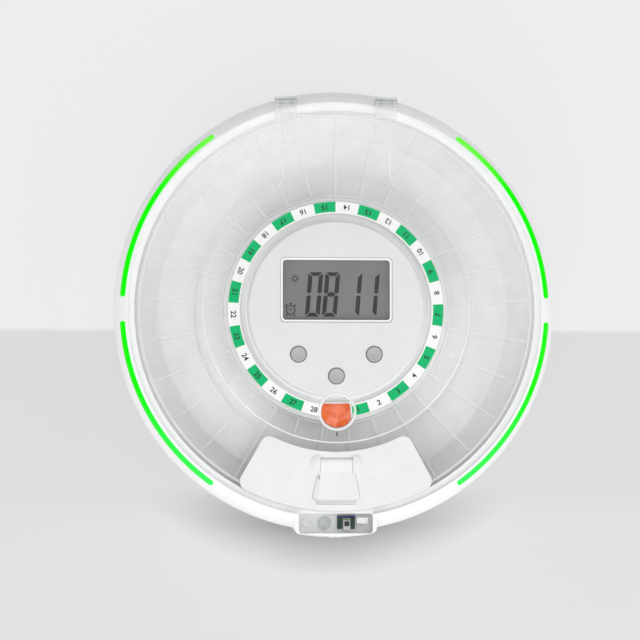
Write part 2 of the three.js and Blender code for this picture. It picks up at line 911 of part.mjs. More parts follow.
function buzzerCan() {
  const { radius: r, height, hole, holeDepth } = buzzer;
  const top = level.board - gap.seat;
  const low = top - height;
  return turned([
    [0, low + holeDepth],
    [hole, low + holeDepth],
    [hole, low],
    [r, low],
    [r, top],
    [0, top],
  ], smooth.medium);
}

// Drive: the motor under the deck and the pinion that meets the ring of teeth on the tray

// An outline of teeth whose roots and tips lie at the two radii that are given.
function toothed(teeth, tip, root, phase) {
  const pitch = (2 * Math.PI) / teeth;
  return Array.from({ length: teeth }, (_, i) => phase + i * pitch).flatMap((middle) => [
    polar(root, middle - gear.wideShare * pitch),
    polar(tip, middle - gear.narrowShare * pitch),
    polar(tip, middle + gear.narrowShare * pitch),
    polar(root, middle + gear.wideShare * pitch),
  ]);
}

function gearRing() {
  const phase = Math.PI / 2 + Math.PI / gear.ringTeeth;
  const hollow = toothed(gear.ringTeeth, gear.ringTip, gear.ringRoot, phase);
  const whole = disc(gear.ringRoot + gear.rim, level.gear, level.gear + gear.width, smooth.large);
  return cut(whole, prism(hollow, level.below, level.above));
}

function pinion() {
  const tip = gear.pinionPitchRadius + gear.tipShare * gear.module;
  const root = gear.pinionPitchRadius - gear.rootShare * gear.module;
  const shaft = disc(gear.shaftRadius, level.deckUnder - level.gear, 0, smooth.small);
  return join(prism(toothed(gear.pinionTeeth, tip, root, Math.PI / 2), 0, gear.width), shaft);
}

function gearMotor() {
  const { radius: r, height, offset, earRadius, earHole, earReach, plugWidth, plugDepth, plugDrop } = motor;
  const top = level.deckUnder - gap.seat;
  const low = top - motor.earThickness;
  const web = block([-earReach, earReach], [-earRadius, earRadius], [low, top]);
  const ends = [-1, 1].map((side) =>
    disc(earRadius, low, top, smooth.small).translate(side * earReach, 0, 0));
  const holes = [-1, 1].map((side) =>
    disc(earHole, level.below, level.above, smooth.small).translate(side * earReach, 0, 0));
  const foot = top - height;
  const plug = block([-plugWidth / 2, plugWidth / 2], [r - plugDepth, r + plugDepth], [foot, top - plugDrop]);
  const whole = cut(join(disc(r, foot, top), web, plug, ...ends), ...holes);
  return whole.translate(0, radius.shaft + offset, 0);
}

// Tray: its floor, wall and hub, the dividers, the number ring and the home marker

// Radius of the tray's outside at a height.
function trayOutside(z) {
  return tray.floorRadius + (tray.flare * (z - level.trayUnder)) / (tray.floor + tray.depth);
}

// Radius of the inside of its wall at a height.
function trayInside(z) {
  return tray.floorRadius - tray.wall + (tray.flare * (z - level.trayFloor)) / tray.depth;
}

function trayFloor() {
  return turned([
    [tray.hubRadius, level.trayUnder],
    [tray.floorRadius, level.trayUnder],
    [trayOutside(level.trayFloor), level.trayFloor],
    [tray.hubRadius, level.trayFloor],
  ]);
}

function trayWall() {
  const foot = level.trayFloor + gap.seat;
  return turned([
    [trayInside(foot), foot],
    [trayOutside(foot), foot],
    [tray.rimRadius, level.trayRim],
    [trayInside(level.trayRim), level.trayRim],
  ]);
}

function trayHub() {
  const { hubRadius, hubOuter, flangeRadius, flange } = tray;
  const foot = level.trayFloor + gap.seat;
  return turned([
    [hubRadius, foot],
    [hubOuter, foot],
    [hubOuter, level.trayHub],
    [flangeRadius, level.trayHub],
    [flangeRadius, level.trayHub - flange],
    [hubRadius, level.trayHub - flange],
  ]);
}

function dividers() {
  const { thickness, hub, drop, gap: air } = divider;
  const inner = tray.hubOuter + gap.seat;
  const low = level.trayFloor + gap.seat;
  const top = level.trayRim - drop;
  const hubTop = level.trayHub - gap.seat;
  const reach = (z) => trayInside(z) - air;
  const outline = [[inner + hub / 2, low], [reach(low), low], [reach(top), top], [inner + hub / 2, hubTop]];
  const fin = slab(outline, -thickness / 2, thickness / 2);
  const fins = Array.from({ length: places.count }, (_, i) => {
    const turn = (i + 1 / 2) * places.pitch + Math.PI;
    return fin.rotate([0, 0, turn / degree]);
  });
  return join(hoop(inner, inner + hub, low, hubTop, 2 * places.count), ...fins);
}

function numberRing() {
  const low = level.trayHub + gap.seat;
  return hoop(doseRing.inner, doseRing.outer, low, low + doseRing.thickness);
}

function homeMarker() {
  const low = level.trayHub + gap.seat + doseRing.thickness;
  const half = marker.width / (marker.inner + marker.outer);
  const outline = sector(marker.inner, marker.outer, front - half, front + half, marker.thickness);
  return prism(outline, low, low + marker.thickness);
}

// Lid: the clear shell with its plateau, neck and hinge arms, and what it carries

// Outline of the raised plateau and its neck to the hinge, drawn in by the wall for the inside.
function plateauOutline(inset) {
  const r = radius.plateauFoot - inset;
  const half = neck.width / 2 - inset;
  const { fillet } = neck;
  const side = half + fillet;
  const meet = Math.asin(side / (r + fillet));
  const height = (r + fillet) * Math.cos(meet);
  const end = radius.neckEnd - inset;
  const quarter = Math.PI / 2;
  return [
    [-half, end],
    ...arc([-side, height], fillet, 0, meet - quarter),
    ...arc([0, 0], r, quarter + meet, 5 * quarter - meet).slice(1, -1),
    ...arc([side, height], fillet, -quarter - meet, -2 * quarter),
    [half, end],
  ];
}

// The lid as a filled form, or with inset the space under it.
function lidForm(inset) {
  const low = level.lidUnder - (inset > 0 ? gap.overrun : 0);
  const step = level.plateau - lid.step - inset;
  const rim = inset > 0
    ? [[radius.lidInner, low]]
    : [[radius.lid, low], [radius.lid, level.lidRim - gap.seat]];
  const dome = turned([
    [0, low],
    ...rim,
    [radius.lidInner, level.lidRim - inset],
    [radius.plateauFoot, step],
    [0, step],
  ]);
  const top = level.plateau - inset;
  const roof = slab([
    [-radius.lid, low],
    [radius.lid, low],
    [radius.neckEnd, top - neck.drop],
    [lid.plateauRadius + neck.start, top],
    [-radius.lid, top],
  ], -radius.lid, radius.lid);
  return join(dome, prism(plateauOutline(inset), low, top).intersect(roof));
}

function hingeArm(side) {
  const middle = (side * hinge.spacing) / 2;
  const { knuckle, armWidth } = hinge;
  const back = radius.neckEnd - lid.wall;
  const shape = [
    [back, level.hinge - knuckle],
    ...arc([radius.hinge, level.hinge], knuckle, -Math.PI / 2, Math.PI / 2),
    [back, level.hinge + knuckle],
  ];
  return slab(shape, middle - armWidth / 2, middle + armWidth / 2);
}

function lidWindow() {
  const half = latchInside - latch.air;
  return block(
    [-half, half],
    [latch.air - radius.pocketFront, -radius.lidInner - gap.seat],
    [level.window, level.window + latch.window],
  );
}

// The hook hangs under the window on a foot. Its toe lies just outside the circle of the cam's edge, so the
// turned cam stands over it.
function lidHook() {
  const { place, width, thickness, toe, toeInset, foot: rim, footHeight } = hook;
  const end = place + width;
  const near = -radius.camFront - gap.slide;
  const far = near - thickness;
  const toeTop = level.lock - Math.sqrt((cam.length + gap.slide) ** 2 - (place + toeInset) ** 2);
  const low = toeTop - toe;
  const top = level.window - gap.seat;
  return join(
    block([place, end], [far, near], [low, top]),
    block([place + toeInset, end], [far, -radius.camBack], [low, toeTop]),
    block([place - rim, end + rim], [far - rim, near + rim], [top - footHeight, top]));
}

function panelOutline(air) {
  const { panelInner: inner, panelOuter: outer } = radius;
  const half = panel.half + air / inner;
  return sector(inner - air, outer + air, front - half, front + half, panel.corner + air);
}

// Height of the lid's outer surface at a radius, between the rim and the plateau.
function domeHeight(r) {
  const share = (radius.lidInner - r) / (radius.lidInner - radius.plateauFoot);
  return level.lidRim + share * (lid.rise - lid.step);
}

function lidShell() {
  const whole = join(cut(lidForm(0), lidForm(lid.wall)), hingeArm(-1), hingeArm(1), lidWindow());
  return cut(whole, prism(panelOutline(gap.seat), level.ledge, level.above), pinHole(-1), pinHole(1));
}

const gateAxis = domeHeight(radius.gateHinge) + panel.proud;

// The gate's outline, or with air the opening that it lies in.
function gateOutline(air) {
  const { innerHalf, earHalf, outerHalf, barrel } = gate;
  const back = radius.gateHinge - barrel - air;
  const neckEnd = radius.gateNeck - air;
  const outer = radius.gateOuter + air;
  return [
    [-innerHalf - air, -back],
    [-innerHalf - air, -neckEnd],
    [-earHalf - air, -neckEnd],
    [-outerHalf - air, -outer],
    [outerHalf + air, -outer],
    [earHalf + air, -neckEnd],
    [innerHalf + air, -neckEnd],
    [innerHalf + air, -back],
  ];
}

function gatePinHole() {
  const half = gate.innerHalf + gate.earWidth + gap.slide;
  return rodAlongX(gate.pinRadius + gap.pin, [-half, half], -radius.gateHinge, gateAxis);
}

function frontPanel() {
  const { proud, thickness } = panel;
  const low = radius.panelInner - gap.overrun;
  const high = radius.panelOuter + gap.overrun;
  const skin = turned([
    [low, domeHeight(low) + proud - thickness],
    [high, domeHeight(high) + proud - thickness],
    [high, domeHeight(high) + proud],
    [low, domeHeight(low) + proud],
  ]).intersect(prism(panelOutline(0), level.below, level.above));
  const from = gate.innerHalf + gap.slide;
  const across = [-radius.gateHinge - gate.barrel, -radius.gateHinge + gate.barrel];
  const ears = [[-from - gate.earWidth, -from], [from, from + gate.earWidth]].map((wide) => join(
    rodAlongX(gate.barrel, wide, -radius.gateHinge, gateAxis),
    block(wide, across, [gateAxis - thickness, gateAxis])));
  const way = prism(gateOutline(gap.slide), level.below, level.above);
  return cut(join(cut(skin, way), ...ears), gatePinHole());
}

function pillGate() {
  const { thickness, barrel, innerHalf, lipHalf, lipDepth, lipHeight } = gate;
  const outer = radius.gateOuter;
  const end = domeHeight(outer) + panel.proud;
  const plate = slab([
    [-radius.gateHinge, gateAxis],
    [-radius.gateHinge, gateAxis - thickness],
    [-outer, end - thickness],
    [-outer, end],
  ], -radius.lid, radius.lid).intersect(prism(gateOutline(0), level.below, level.above));
  const lip = block([-lipHalf, lipHalf], [-outer, -outer + lipDepth], [end - thickness / 2, end + lipHeight]);
  const tube = rodAlongX(barrel, [-innerHalf, innerHalf], -radius.gateHinge, gateAxis);
  return cut(join(plate, lip, tube), gatePinHole());
}

function magnifier() {
  const { radius: r, curveRadius, rimHeight, seat, rise, bevel } = lens;
  const crown = rise - seat;
  const curve = (curveRadius ** 2 + crown ** 2) / (2 * crown);
  const sweep = Math.asin(curveRadius / curve);
  const steps = smooth.small / 2;
  const bulge = Array.from({ length: steps + 1 }, (_, i) => {
    const angle = sweep * (1 - i / steps);
    return [curve * Math.sin(angle), rise - curve + curve * Math.cos(angle)];
  });
  bulge[steps][0] = 0;
  return turned([
    [0, 0],
    [r, 0],
    [r, rimHeight - bevel],
    [r - bevel, rimHeight],
    [curveRadius, rimHeight],
    ...bulge,
  ], smooth.medium);
}

// Lock: the barrel, its cam, the latch spring and the switch that feels the lid

function lockBarrel() {
  const { radius: r, faceRadius, face, keyWidth, keyHeight, keyDepth } = lock;
  const back = -radius.camFront - gap.seat;
  const barrel = rodAlongY(r, [-radius.lockFront, back], 0, 0);
  const front = rodAlongY(faceRadius, [-radius.block, -radius.lockFront], 0, 0);
  const key = block(
    [-keyWidth / 2, keyWidth / 2],
    [-radius.block - gap.overrun, keyDepth - radius.block],
    [-keyHeight / 2, keyHeight / 2],
  );
  return cut(join(barrel, front), key);
}

// A fan with a round edge: its sides touch the hub's circle, so the plate has no inward corner.
function lockCam() {
  const { thickness, lead, trail, length } = cam;
  const hub = lock.radius - gap.seat;
  const side = Math.acos(hub / length);
  const [from, to] = [front - trail, front + lead];
  const outline = [
    ...arc([0, 0], hub, to + side, from - side + 2 * Math.PI),
    ...arc([0, 0], length, from, to),
  ];
  return prism(outline, 0, thickness).rotate([90, 0, 0]);
}

// The latch spring as one unbroken tube, with its least distance to itself measured on points.
function latchSpring() {
  const { radius: mean, wire, curls, steps, sides } = spring;
  const height = level.window - level.pocket - 2 * gap.seat;
  const total = curls * steps;
  const rise = (height - 2 * wire) / curls;
  const path = [];
  for (let i = 0; i <= total; i += 1) {
    const angle = (i / steps) * 2 * Math.PI;
    const out = new THREE.Vector3(Math.cos(angle), Math.sin(angle), 0);
    const up = new THREE.Vector3(0, 0, wire + (i / steps) * rise);
    path.push({ out, centre: out.clone().multiplyScalar(mean).add(up) });
  }
  const tail = ({ out, centre }, way) => ({
    out,
    centre: centre.clone().add(new THREE.Vector3(0, 0, way * wire)),
  });
  path.unshift(tail(path[0], -1));
  path.push(tail(path.at(-1), 1));
  const position = [];
  path.forEach(({ centre, out }, i) => {
    const [before, after] = [path[Math.max(i - 1, 0)], path[Math.min(i + 1, path.length - 1)]];
    const along = after.centre.clone().sub(before.centre).normalize();
    const top = new THREE.Vector3().crossVectors(along, out).normalize();
    for (let k = 0; k < sides; k += 1) {
      const turn = (k / sides) * 2 * Math.PI;
      const from = out.clone().multiplyScalar(Math.cos(turn)).addScaledVector(top, Math.sin(turn));
      position.push(...centre.clone().addScaledVector(from, wire / 2).toArray());
    }
  });
  const index = [];
  for (let i = 0; i + 1 < path.length; i += 1) {
    for (let k = 0; k < sides; k += 1) {
      const [a, b] = [i * sides + k, i * sides + ((k + 1) % sides)];
      index.push(a, b, b + sides, a, b + sides, a + sides);
    }
  }
  const end = (path.length - 1) * sides;
  for (let k = 1; k + 1 < sides; k += 1) {
    index.push(0, k + 1, k, end, end + k, end + k + 1);
  }
  let least = Infinity;
  for (let i = 0; i < path.length; i += 1) {
    for (let j = i + steps / 2; j < path.length; j += 1) {
      least = Math.min(least, path[i].centre.distanceTo(path[j].centre) - wire);
    }
  }
  console.log(`latch spring: least gap to itself ${least.toFixed(2)} mm`);
  const geometry = new THREE.BufferGeometry();
  geometry.setAttribute('position', new THREE.Float32BufferAttribute(position, 3));
  geometry.setIndex(index);
  return solid(geometry);
}

function switchBoard() {
  const { boardWidth, boardDepth, board: thickness } = lidSwitch;
  return block([0, boardWidth], [0, boardDepth], [0, thickness]);
}

function switchBody() {
  const { width, depth, height, slot, leg } = lidSwitch;
  const whole = block([0, width], [0, depth], [0, height]);
  const notch = block(
    [(width - slot) / 2, (width + slot) / 2],
    [-gap.overrun, depth + gap.overrun],
    [leg, height + gap.overrun],
  );
  return cut(whole, notch);
}

// Assembly

const pillBox = new THREE.Group();

function unit() {
  const group = new THREE.Group();
  pillBox.add(group);
  return group;
}

const base = unit();
piece(base, 'base_shell', baseShell(), 'white');
piece(base, 'bottom_cover', bottomCover(), 'white');
piece(base, 'battery_door', batteryDoor(), 'white');
for (let i = 0; i < batteries.count; i += 1) {
  const x = (i - (batteries.count - 1) / 2) * batteries.pitch;
  const mesh = piece(base, `battery_${i + 1}`, battery(), 'battery', [x, 0, level.batteryAxis]);
  if (i % 2 === 1) mesh.rotation.z = Math.PI;
}
const contactPlace = bay.halfDepth - gap.seat - contact.thickness;
piece(base, 'battery_contact_rear', contactPlate(), 'steel', [0, contactPlace, level.batteryAxis]);
const frontContactPlace = [0, -contactPlace, level.batteryAxis];
const frontContact = piece(base, 'battery_contact_front', contactPlate(), 'steel', frontContactPlace);
frontContact.rotation.z = Math.PI;
footPlaces.forEach(([x, y], i) => piece(base, `rubber_foot_${i + 1}`, rubberFoot(), 'rubber', [x, y, 0]));
screwPlaces.forEach(([x, y], i) =>
  piece(base, `case_screw_${i + 1}`, caseScrew(), 'steel', [x, y, level.casing + screw.drop]));
pipeTurns.forEach((turns, i) => piece(base, `light_pipe_${i + 1}`, lightPipe(turns), 'light'));
piece(base, 'light_board', lightBoardRing(), 'circuit');

const drive = unit();
piece(drive, 'gear_motor', gearMotor(), 'steel');
piece(drive, 'drive_pinion', pinion(), 'frosted', [0, radius.shaft, level.gear]);

const consoleUnit = unit();
piece(consoleUnit, 'console_housing', columnTube(), 'white');
piece(consoleUnit, 'console_cover', consoleCap(), 'white');
const windowLevel = level.capTop - display.thickness;
const moduleLevel = level.capTop - cap.top - gap.seat;
piece(consoleUnit, 'display_window', displayWindow(), 'clear', [0, display.place, windowLevel]);
piece(consoleUnit, 'display_module', displayModule(), 'glass', [0, display.place, moduleLevel]);
piece(consoleUnit, 'main_board', mainBoard(), 'circuit');
piece(consoleUnit, 'buzzer', buzzerCan(), 'black', [buzzer.x, buzzer.y, 0]);
piece(consoleUnit, 'button_pad', buttonPad(), 'rubber');
for (const [name, x, y] of button.places) {
  piece(consoleUnit, name, pushButton(), 'grey', [x, y, level.capTop]);
}

const turningTray = unit();
piece(turningTray, 'pill_tray', trayFloor(), 'frosted');
piece(turningTray, 'tray_wall', trayWall(), 'frosted');
piece(turningTray, 'tray_hub', trayHub(), 'frosted');
piece(turningTray, 'tray_dividers', dividers(), 'frosted');
piece(turningTray, 'tray_gear_ring', gearRing(), 'frosted');
piece(turningTray, 'dose_ring', numberRing(), 'print');
piece(turningTray, 'home_marker', homeMarker(), 'orange');

const openingLid = unit();
piece(openingLid, 'lid_shell', lidShell(), 'clear');
piece(openingLid, 'lid_hook', lidHook(), 'clear');
piece(openingLid, 'front_panel', frontPanel(), 'white');
piece(openingLid, 'pill_gate', pillGate(), 'white');
piece(openingLid, 'magnifier_lens', magnifier(), 'clear', [0, -doseRing.middle, level.plateau]);
const gatePinHalf = gate.innerHalf + gate.earWidth;
const gatePin = rodAlongX(gate.pinRadius, [-gatePinHalf, gatePinHalf], 0, 0);
piece(openingLid, 'gate_pin', gatePin, 'steel', [0, -radius.gateHinge, gateAxis]);
const hingePinHalf = hinge.armWidth / 2 + gap.slide + hinge.earWidth;
const hingePin = rodAlongX(hinge.pinRadius, [-hingePinHalf, hingePinHalf], 0, 0);
piece(openingLid, 'hinge_pin_left', hingePin, 'steel', [-hinge.spacing / 2, radius.hinge, level.hinge]);
piece(openingLid, 'hinge_pin_right', hingePin, 'steel', [hinge.spacing / 2, radius.hinge, level.hinge]);

const lockUnit = unit();
piece(lockUnit, 'lock_barrel', lockBarrel(), 'steel', [0, 0, level.lock]);
piece(lockUnit, 'lock_cam', lockCam(), 'steel', [0, -radius.camBack, level.lock]);
const pocketMiddle = -(radius.pocketFront + radius.pocketBack) / 2;
const pocketFloor = level.pocket + gap.seat;
piece(lockUnit, 'latch_spring', latchSpring(), 'steel', [spring.place, pocketMiddle, pocketFloor]);
const boardPlace = [lidSwitch.place, pocketMiddle - lidSwitch.boardDepth / 2, pocketFloor];
piece(lockUnit, 'switch_board', switchBoard(), 'circuit', boardPlace);
const switchLevel = pocketFloor + lidSwitch.board + gap.seat;
const switchPlace = [lidSwitch.place + gap.seat, pocketMiddle - lidSwitch.depth / 2, switchLevel];
piece(lockUnit, 'lid_switch', switchBody(), 'black', switchPlace);

export default pillBox;
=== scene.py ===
import math

import bmesh
import bpy
from mathutils import Matrix, Vector


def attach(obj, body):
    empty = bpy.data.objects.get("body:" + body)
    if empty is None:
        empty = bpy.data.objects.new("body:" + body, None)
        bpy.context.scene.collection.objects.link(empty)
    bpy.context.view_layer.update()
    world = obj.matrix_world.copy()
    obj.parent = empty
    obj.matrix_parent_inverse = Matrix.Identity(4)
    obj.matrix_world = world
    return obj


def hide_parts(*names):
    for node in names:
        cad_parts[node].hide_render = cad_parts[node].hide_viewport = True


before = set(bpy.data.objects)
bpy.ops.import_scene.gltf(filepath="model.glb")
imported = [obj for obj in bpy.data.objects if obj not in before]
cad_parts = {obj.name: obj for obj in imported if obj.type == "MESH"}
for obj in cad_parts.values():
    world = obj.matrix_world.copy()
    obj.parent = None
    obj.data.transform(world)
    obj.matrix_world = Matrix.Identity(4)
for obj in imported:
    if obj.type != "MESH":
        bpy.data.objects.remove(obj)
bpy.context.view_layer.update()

mm = 0.001  # the shapes are worked out in mm
print("frame loaded")


def linear(hexColour, alpha=1.0):
    # sRGB hex to the linear values that the shader sockets take
    parts = [int(hexColour[i:i + 2], 16) / 255 for i in (0, 2, 4)]
    return tuple(c / 12.92 if c <= 0.04045 else ((c + 0.055) / 1.055) ** 2.4 for c in parts) + (alpha,)


def addNode(tree, kind, settings=None, links=None):
    node = tree.nodes.new(kind)
    for key, value in (settings or {}).items():
        if isinstance(key, int) or key in node.inputs:
            node.inputs[key].default_value = value
        else:
            setattr(node, key, value)
    for key, source in (links or {}).items():
        tree.links.new(source, node.inputs[key])
    return node


def startMaterial(name):
    material = bpy.data.materials.new(name)
    material.use_nodes = True
    material.node_tree.nodes.clear()
    return material, material.node_tree


def endMaterial(tree, shader):
    addNode(tree, "ShaderNodeOutputMaterial", links={"Surface": shader})


def grainedPlastic(name, colours, roughness, grain=0.25, bump=0.04, **shader):
    # two close shades in soft patches a few mm wide, and a fine mould grain in the bump
    material, tree = startMaterial(name)
    place = addNode(tree, "ShaderNodeTexCoord").outputs["Object"]
    patches = addNode(tree, "ShaderNodeTexNoise", {"Scale": 1 / (9 * mm), "Detail": 3.0}, {"Vector": place})
    shades = addNode(tree, "ShaderNodeValToRGB", links={"Fac": patches.outputs["Fac"]})
    for element, colour, position in zip(shades.color_ramp.elements, colours, (0.35, 0.65)):
        element.color = linear(colour)
        element.position = position
    sheen = addNode(tree, "ShaderNodeMapRange", {"From Min": 0.3, "From Max": 0.7, "To Min": roughness[0],
                                                 "To Max": roughness[1]}, {"Value": patches.outputs["Fac"]})
    fine = addNode(tree, "ShaderNodeTexNoise", {"Scale": 1 / (grain * mm), "Detail": 2.0}, {"Vector": place})
    relief = addNode(tree, "ShaderNodeBump", {"Strength": bump, "Distance": 0.1 * mm},
                     {"Height": fine.outputs["Fac"]})
    skin = addNode(tree, "ShaderNodeBsdfPrincipled", shader, {
        "Base Color": shades.outputs["Color"], "Roughness": sheen.outputs["Result"],
        "Normal": relief.outputs["Normal"]})
    endMaterial(tree, skin.outputs["BSDF"])
    return material


def seeThrough(tree, share, skin, passed):
    # only outer faces carry the tint, and nearly all the light passes on to what lies below
    side = addNode(tree, "ShaderNodeNewGeometry")
    outer = addNode(tree, "ShaderNodeMath", {"operation": "SUBTRACT", 0: 1.0}, {1: side.outputs["Backfacing"]})
    part = addNode(tree, "ShaderNodeMath", {"operation": "MULTIPLY"}, {0: share, 1: outer.outputs["Value"]})
    empty = addNode(tree, "ShaderNodeBsdfTransparent")
    body = addNode(tree, "ShaderNodeMixShader", links={0: part.outputs["Value"], 1: empty.outputs["BSDF"], 2: skin})
    dimmed = addNode(tree, "ShaderNodeBsdfTransparent", {"Color": linear(passed)})
    path = addNode(tree, "ShaderNodeLightPath")
    whole = addNode(tree, "ShaderNodeMixShader", links={
        0: path.outputs["Is Shadow Ray"], 1: body.outputs["Shader"], 2: dimmed.outputs["BSDF"]})
    endMaterial(tree, whole.outputs["Shader"])


def rimOr(tree, share):
    # the share of skin, or the larger share of the painted edge highlight where faces are marked with one
    rim = addNode(tree, "ShaderNodeAttribute", {"attribute_name": "rim"})
    most = addNode(tree, "ShaderNodeMath", {"operation": "MAXIMUM"}, {0: share, 1: rim.outputs["Fac"]})
    return most.outputs["Value"]


def clearPlastic(name, colour, veil, edge, roughness=0.05, ior=1.58):
    # see-through from the front; paler where the wall is seen edge on, and a painted highlight along its marked rims
    material, tree = startMaterial(name)
    place = addNode(tree, "ShaderNodeTexCoord").outputs["Object"]
    flow = addNode(tree, "ShaderNodeTexNoise", {"Scale": 1 / (30 * mm), "Detail": 1.0}, {"Vector": place})
    gloss = addNode(tree, "ShaderNodeMapRange", {"To Min": roughness, "To Max": roughness * 1.6},
                    {"Value": flow.outputs["Fac"]})
    skin = addNode(tree, "ShaderNodeBsdfPrincipled", {"Base Color": linear(colour), "IOR": ior},
                   {"Roughness": gloss.outputs["Result"]})
    facing = addNode(tree, "ShaderNodeLayerWeight", {"Blend": 0.2})
    share = addNode(tree, "ShaderNodeMapRange", {"To Min": veil, "To Max": edge},
                    {"Value": facing.outputs["Facing"]})
    seeThrough(tree, rimOr(tree, share.outputs["Result"]), skin.outputs["BSDF"], "FDFDFD")
    return material


def shapeFrom(bm, name):
    # mm in the making, metres in the mesh
    bmesh.ops.remove_doubles(bm, verts=bm.verts, dist=0.0005)
    bmesh.ops.recalc_face_normals(bm, faces=bm.faces)
    bmesh.ops.scale(bm, verts=bm.verts, vec=(mm, mm, mm))
    mesh = bpy.data.meshes.new(name)
    bm.to_mesh(mesh)
    bm.free()
    piece = bpy.data.objects.new(name, mesh)
    bpy.context.scene.collection.objects.link(piece)
    return piece


def inMillimetres(piece):
    # a finished shape back as a bmesh in mm; its object is used up
    bm = bmesh.new()
    bm.from_mesh(piece.data)
    bmesh.ops.scale(bm, verts=bm.verts, vec=(1 / mm, 1 / mm, 1 / mm))
    bpy.data.objects.remove(piece)
    return bm


def joined(name, meshes):
    bm = bmesh.new()
    for part in meshes:
        bm.from_mesh(part)
    mesh = bpy.data.meshes.new(name)
    bm.to_mesh(mesh)
    bm.free()
    piece = bpy.data.objects.new(name, mesh)
    bpy.context.scene.collection.objects.link(piece)
    return piece


def shifted(bm, x, y):
    bmesh.ops.translate(bm, verts=bm.verts, vec=(x, y, 0))
    return bm


def cutAlong(bm, spot, way):
    # new edges where a plane crosses, with both sides kept
    bmesh.ops.bisect_plane(bm, geom=bm.verts[:] + bm.edges[:] + bm.faces[:], plane_co=spot, plane_no=way)


def wire(bm, points, closed=True, plane="XZ"):
    spots = []
    for a, b in points:
        spots.append(bm.verts.new((a, 0, b) if plane == "XZ" else (a, b, 0) if plane == "XY" else (0, a, b)))
    for i in range(len(spots) - (0 if closed else 1)):
        bm.edges.new((spots[i], spots[(i + 1) % len(spots)]))
    return spots


def spun(profile, steps=180, sweep=None, closed=True):
    # sweep is (from, to) in degrees, or None for the full turn
    bm = bmesh.new()
    wire(bm, profile, closed)
    start, end = sweep or (0, 360)
    bmesh.ops.rotate(bm, verts=bm.verts, cent=(0, 0, 0), matrix=Matrix.Rotation(math.radians(start), 3, "Z"))
    bmesh.ops.spin(bm, geom=bm.verts[:] + bm.edges[:], cent=(0, 0, 0), axis=(0, 0, 1),
                   angle=math.radians(end - start), steps=steps, use_merge=sweep is None)
    bmesh.ops.remove_doubles(bm, verts=bm.verts, dist=0.0005)
    if sweep:
        bmesh.ops.holes_fill(bm, edges=[e for e in bm.edges if e.is_boundary])
    bmesh.ops.recalc_face_normals(bm, faces=bm.faces)
    return bm


def prism(outline, low, high, plane="XY"):
    bm = bmesh.new()
    face = bm.faces.new(wire(bm, outline, True, plane))
    along = Vector((1, 0, 0)) if plane == "YZ" else Vector((0, 0, 1))
    bmesh.ops.translate(bm, verts=bm.verts, vec=along * low)
    made = bmesh.ops.extrude_face_region(bm, geom=[face], use_keep_orig=True)
    top = [v for v in made["geom"] if isinstance(v, bmesh.types.BMVert)]
    bmesh.ops.translate(bm, verts=top, vec=along * (high - low))
    bmesh.ops.recalc_face_normals(bm, faces=bm.faces)
    return bm


def boxed(xs, ys, zs, edge=0.0, segments=2):
    bm = bmesh.new()
    bmesh.ops.create_cube(bm, size=1)
    size = [b - a for a, b in (xs, ys, zs)]
    bmesh.ops.scale(bm, verts=bm.verts, vec=size)
    bmesh.ops.translate(bm, verts=bm.verts, vec=[(a + b) / 2 for a, b in (xs, ys, zs)])
    if edge:
        soften(bm, bm.edges[:], edge, segments)
    return bm


def rod(radius, xs, y, z, steps=48, along="X"):
    bm = bmesh.new()
    bmesh.ops.create_cone(bm, cap_ends=True, segments=steps, radius1=radius, radius2=radius, depth=xs[1] - xs[0])
    turn = Matrix.Rotation(math.pi / 2, 3, "Y" if along == "X" else "X")
    bmesh.ops.rotate(bm, verts=bm.verts, cent=(0, 0, 0), matrix=turn)
    middle = (xs[0] + xs[1]) / 2
    bmesh.ops.translate(bm, verts=bm.verts, vec=(middle, y, z) if along == "X" else (y, middle, z))
    return bm


def soften(bm, edges, width, segments=3):
    bmesh.ops.bevel(bm, geom=edges, offset=width, offset_type="OFFSET", affect="EDGES", segments=segments,
                    profile=0.5, material=-1, clamp_overlap=True)


def sharpEdges(bm, angle=30, keep=lambda e: True):
    return [e for e in bm.edges if len(e.link_faces) == 2
            and e.calc_face_angle(0) > math.radians(angle) and keep(e)]


def carve(piece, tool, operation="DIFFERENCE"):
    # tool is a bmesh in mm; it is used up
    helper = shapeFrom(tool, piece.name + "_tool")
    modifier = piece.modifiers.new("carve", "BOOLEAN")
    modifier.operation = operation
    modifier.solver = "EXACT"
    modifier.object = helper
    graph = bpy.context.evaluated_depsgraph_get()
    done = bpy.data.meshes.new_from_object(piece.evaluated_get(graph))
    piece.modifiers.clear()
    piece.data = done
    bpy.data.objects.remove(helper)
    return piece


def finishPiece(piece, material, body, stands=(), smooth=32):
    piece.data.materials.clear()
    piece.data.materials.append(material)
    piece.data.polygons.foreach_set("use_smooth", [True] * len(piece.data.polygons))
    piece.data.set_sharp_from_angle(angle=math.radians(smooth))
    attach(piece, body)
    if stands:
        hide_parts(*stands)
    return piece


def markRim(piece, share, test):
    # faces that pass the test get a painted highlight: a larger share of pale skin, so they show as the paler rim of
    # a clear plastic
    marks = piece.data.attributes.get("rim") or piece.data.attributes.new("rim", "FLOAT", "FACE")
    for face in piece.data.polygons:
        if test(face.center / mm, face.normal):
            marks.data[face.index].value = share


def arc(centre, radius, start, end, steps):
    return [(centre[0] + radius * math.cos(math.radians(start + (end - start) * i / steps)),
             centre[1] + radius * math.sin(math.radians(start + (end - start) * i / steps)))
            for i in range(steps + 1)]


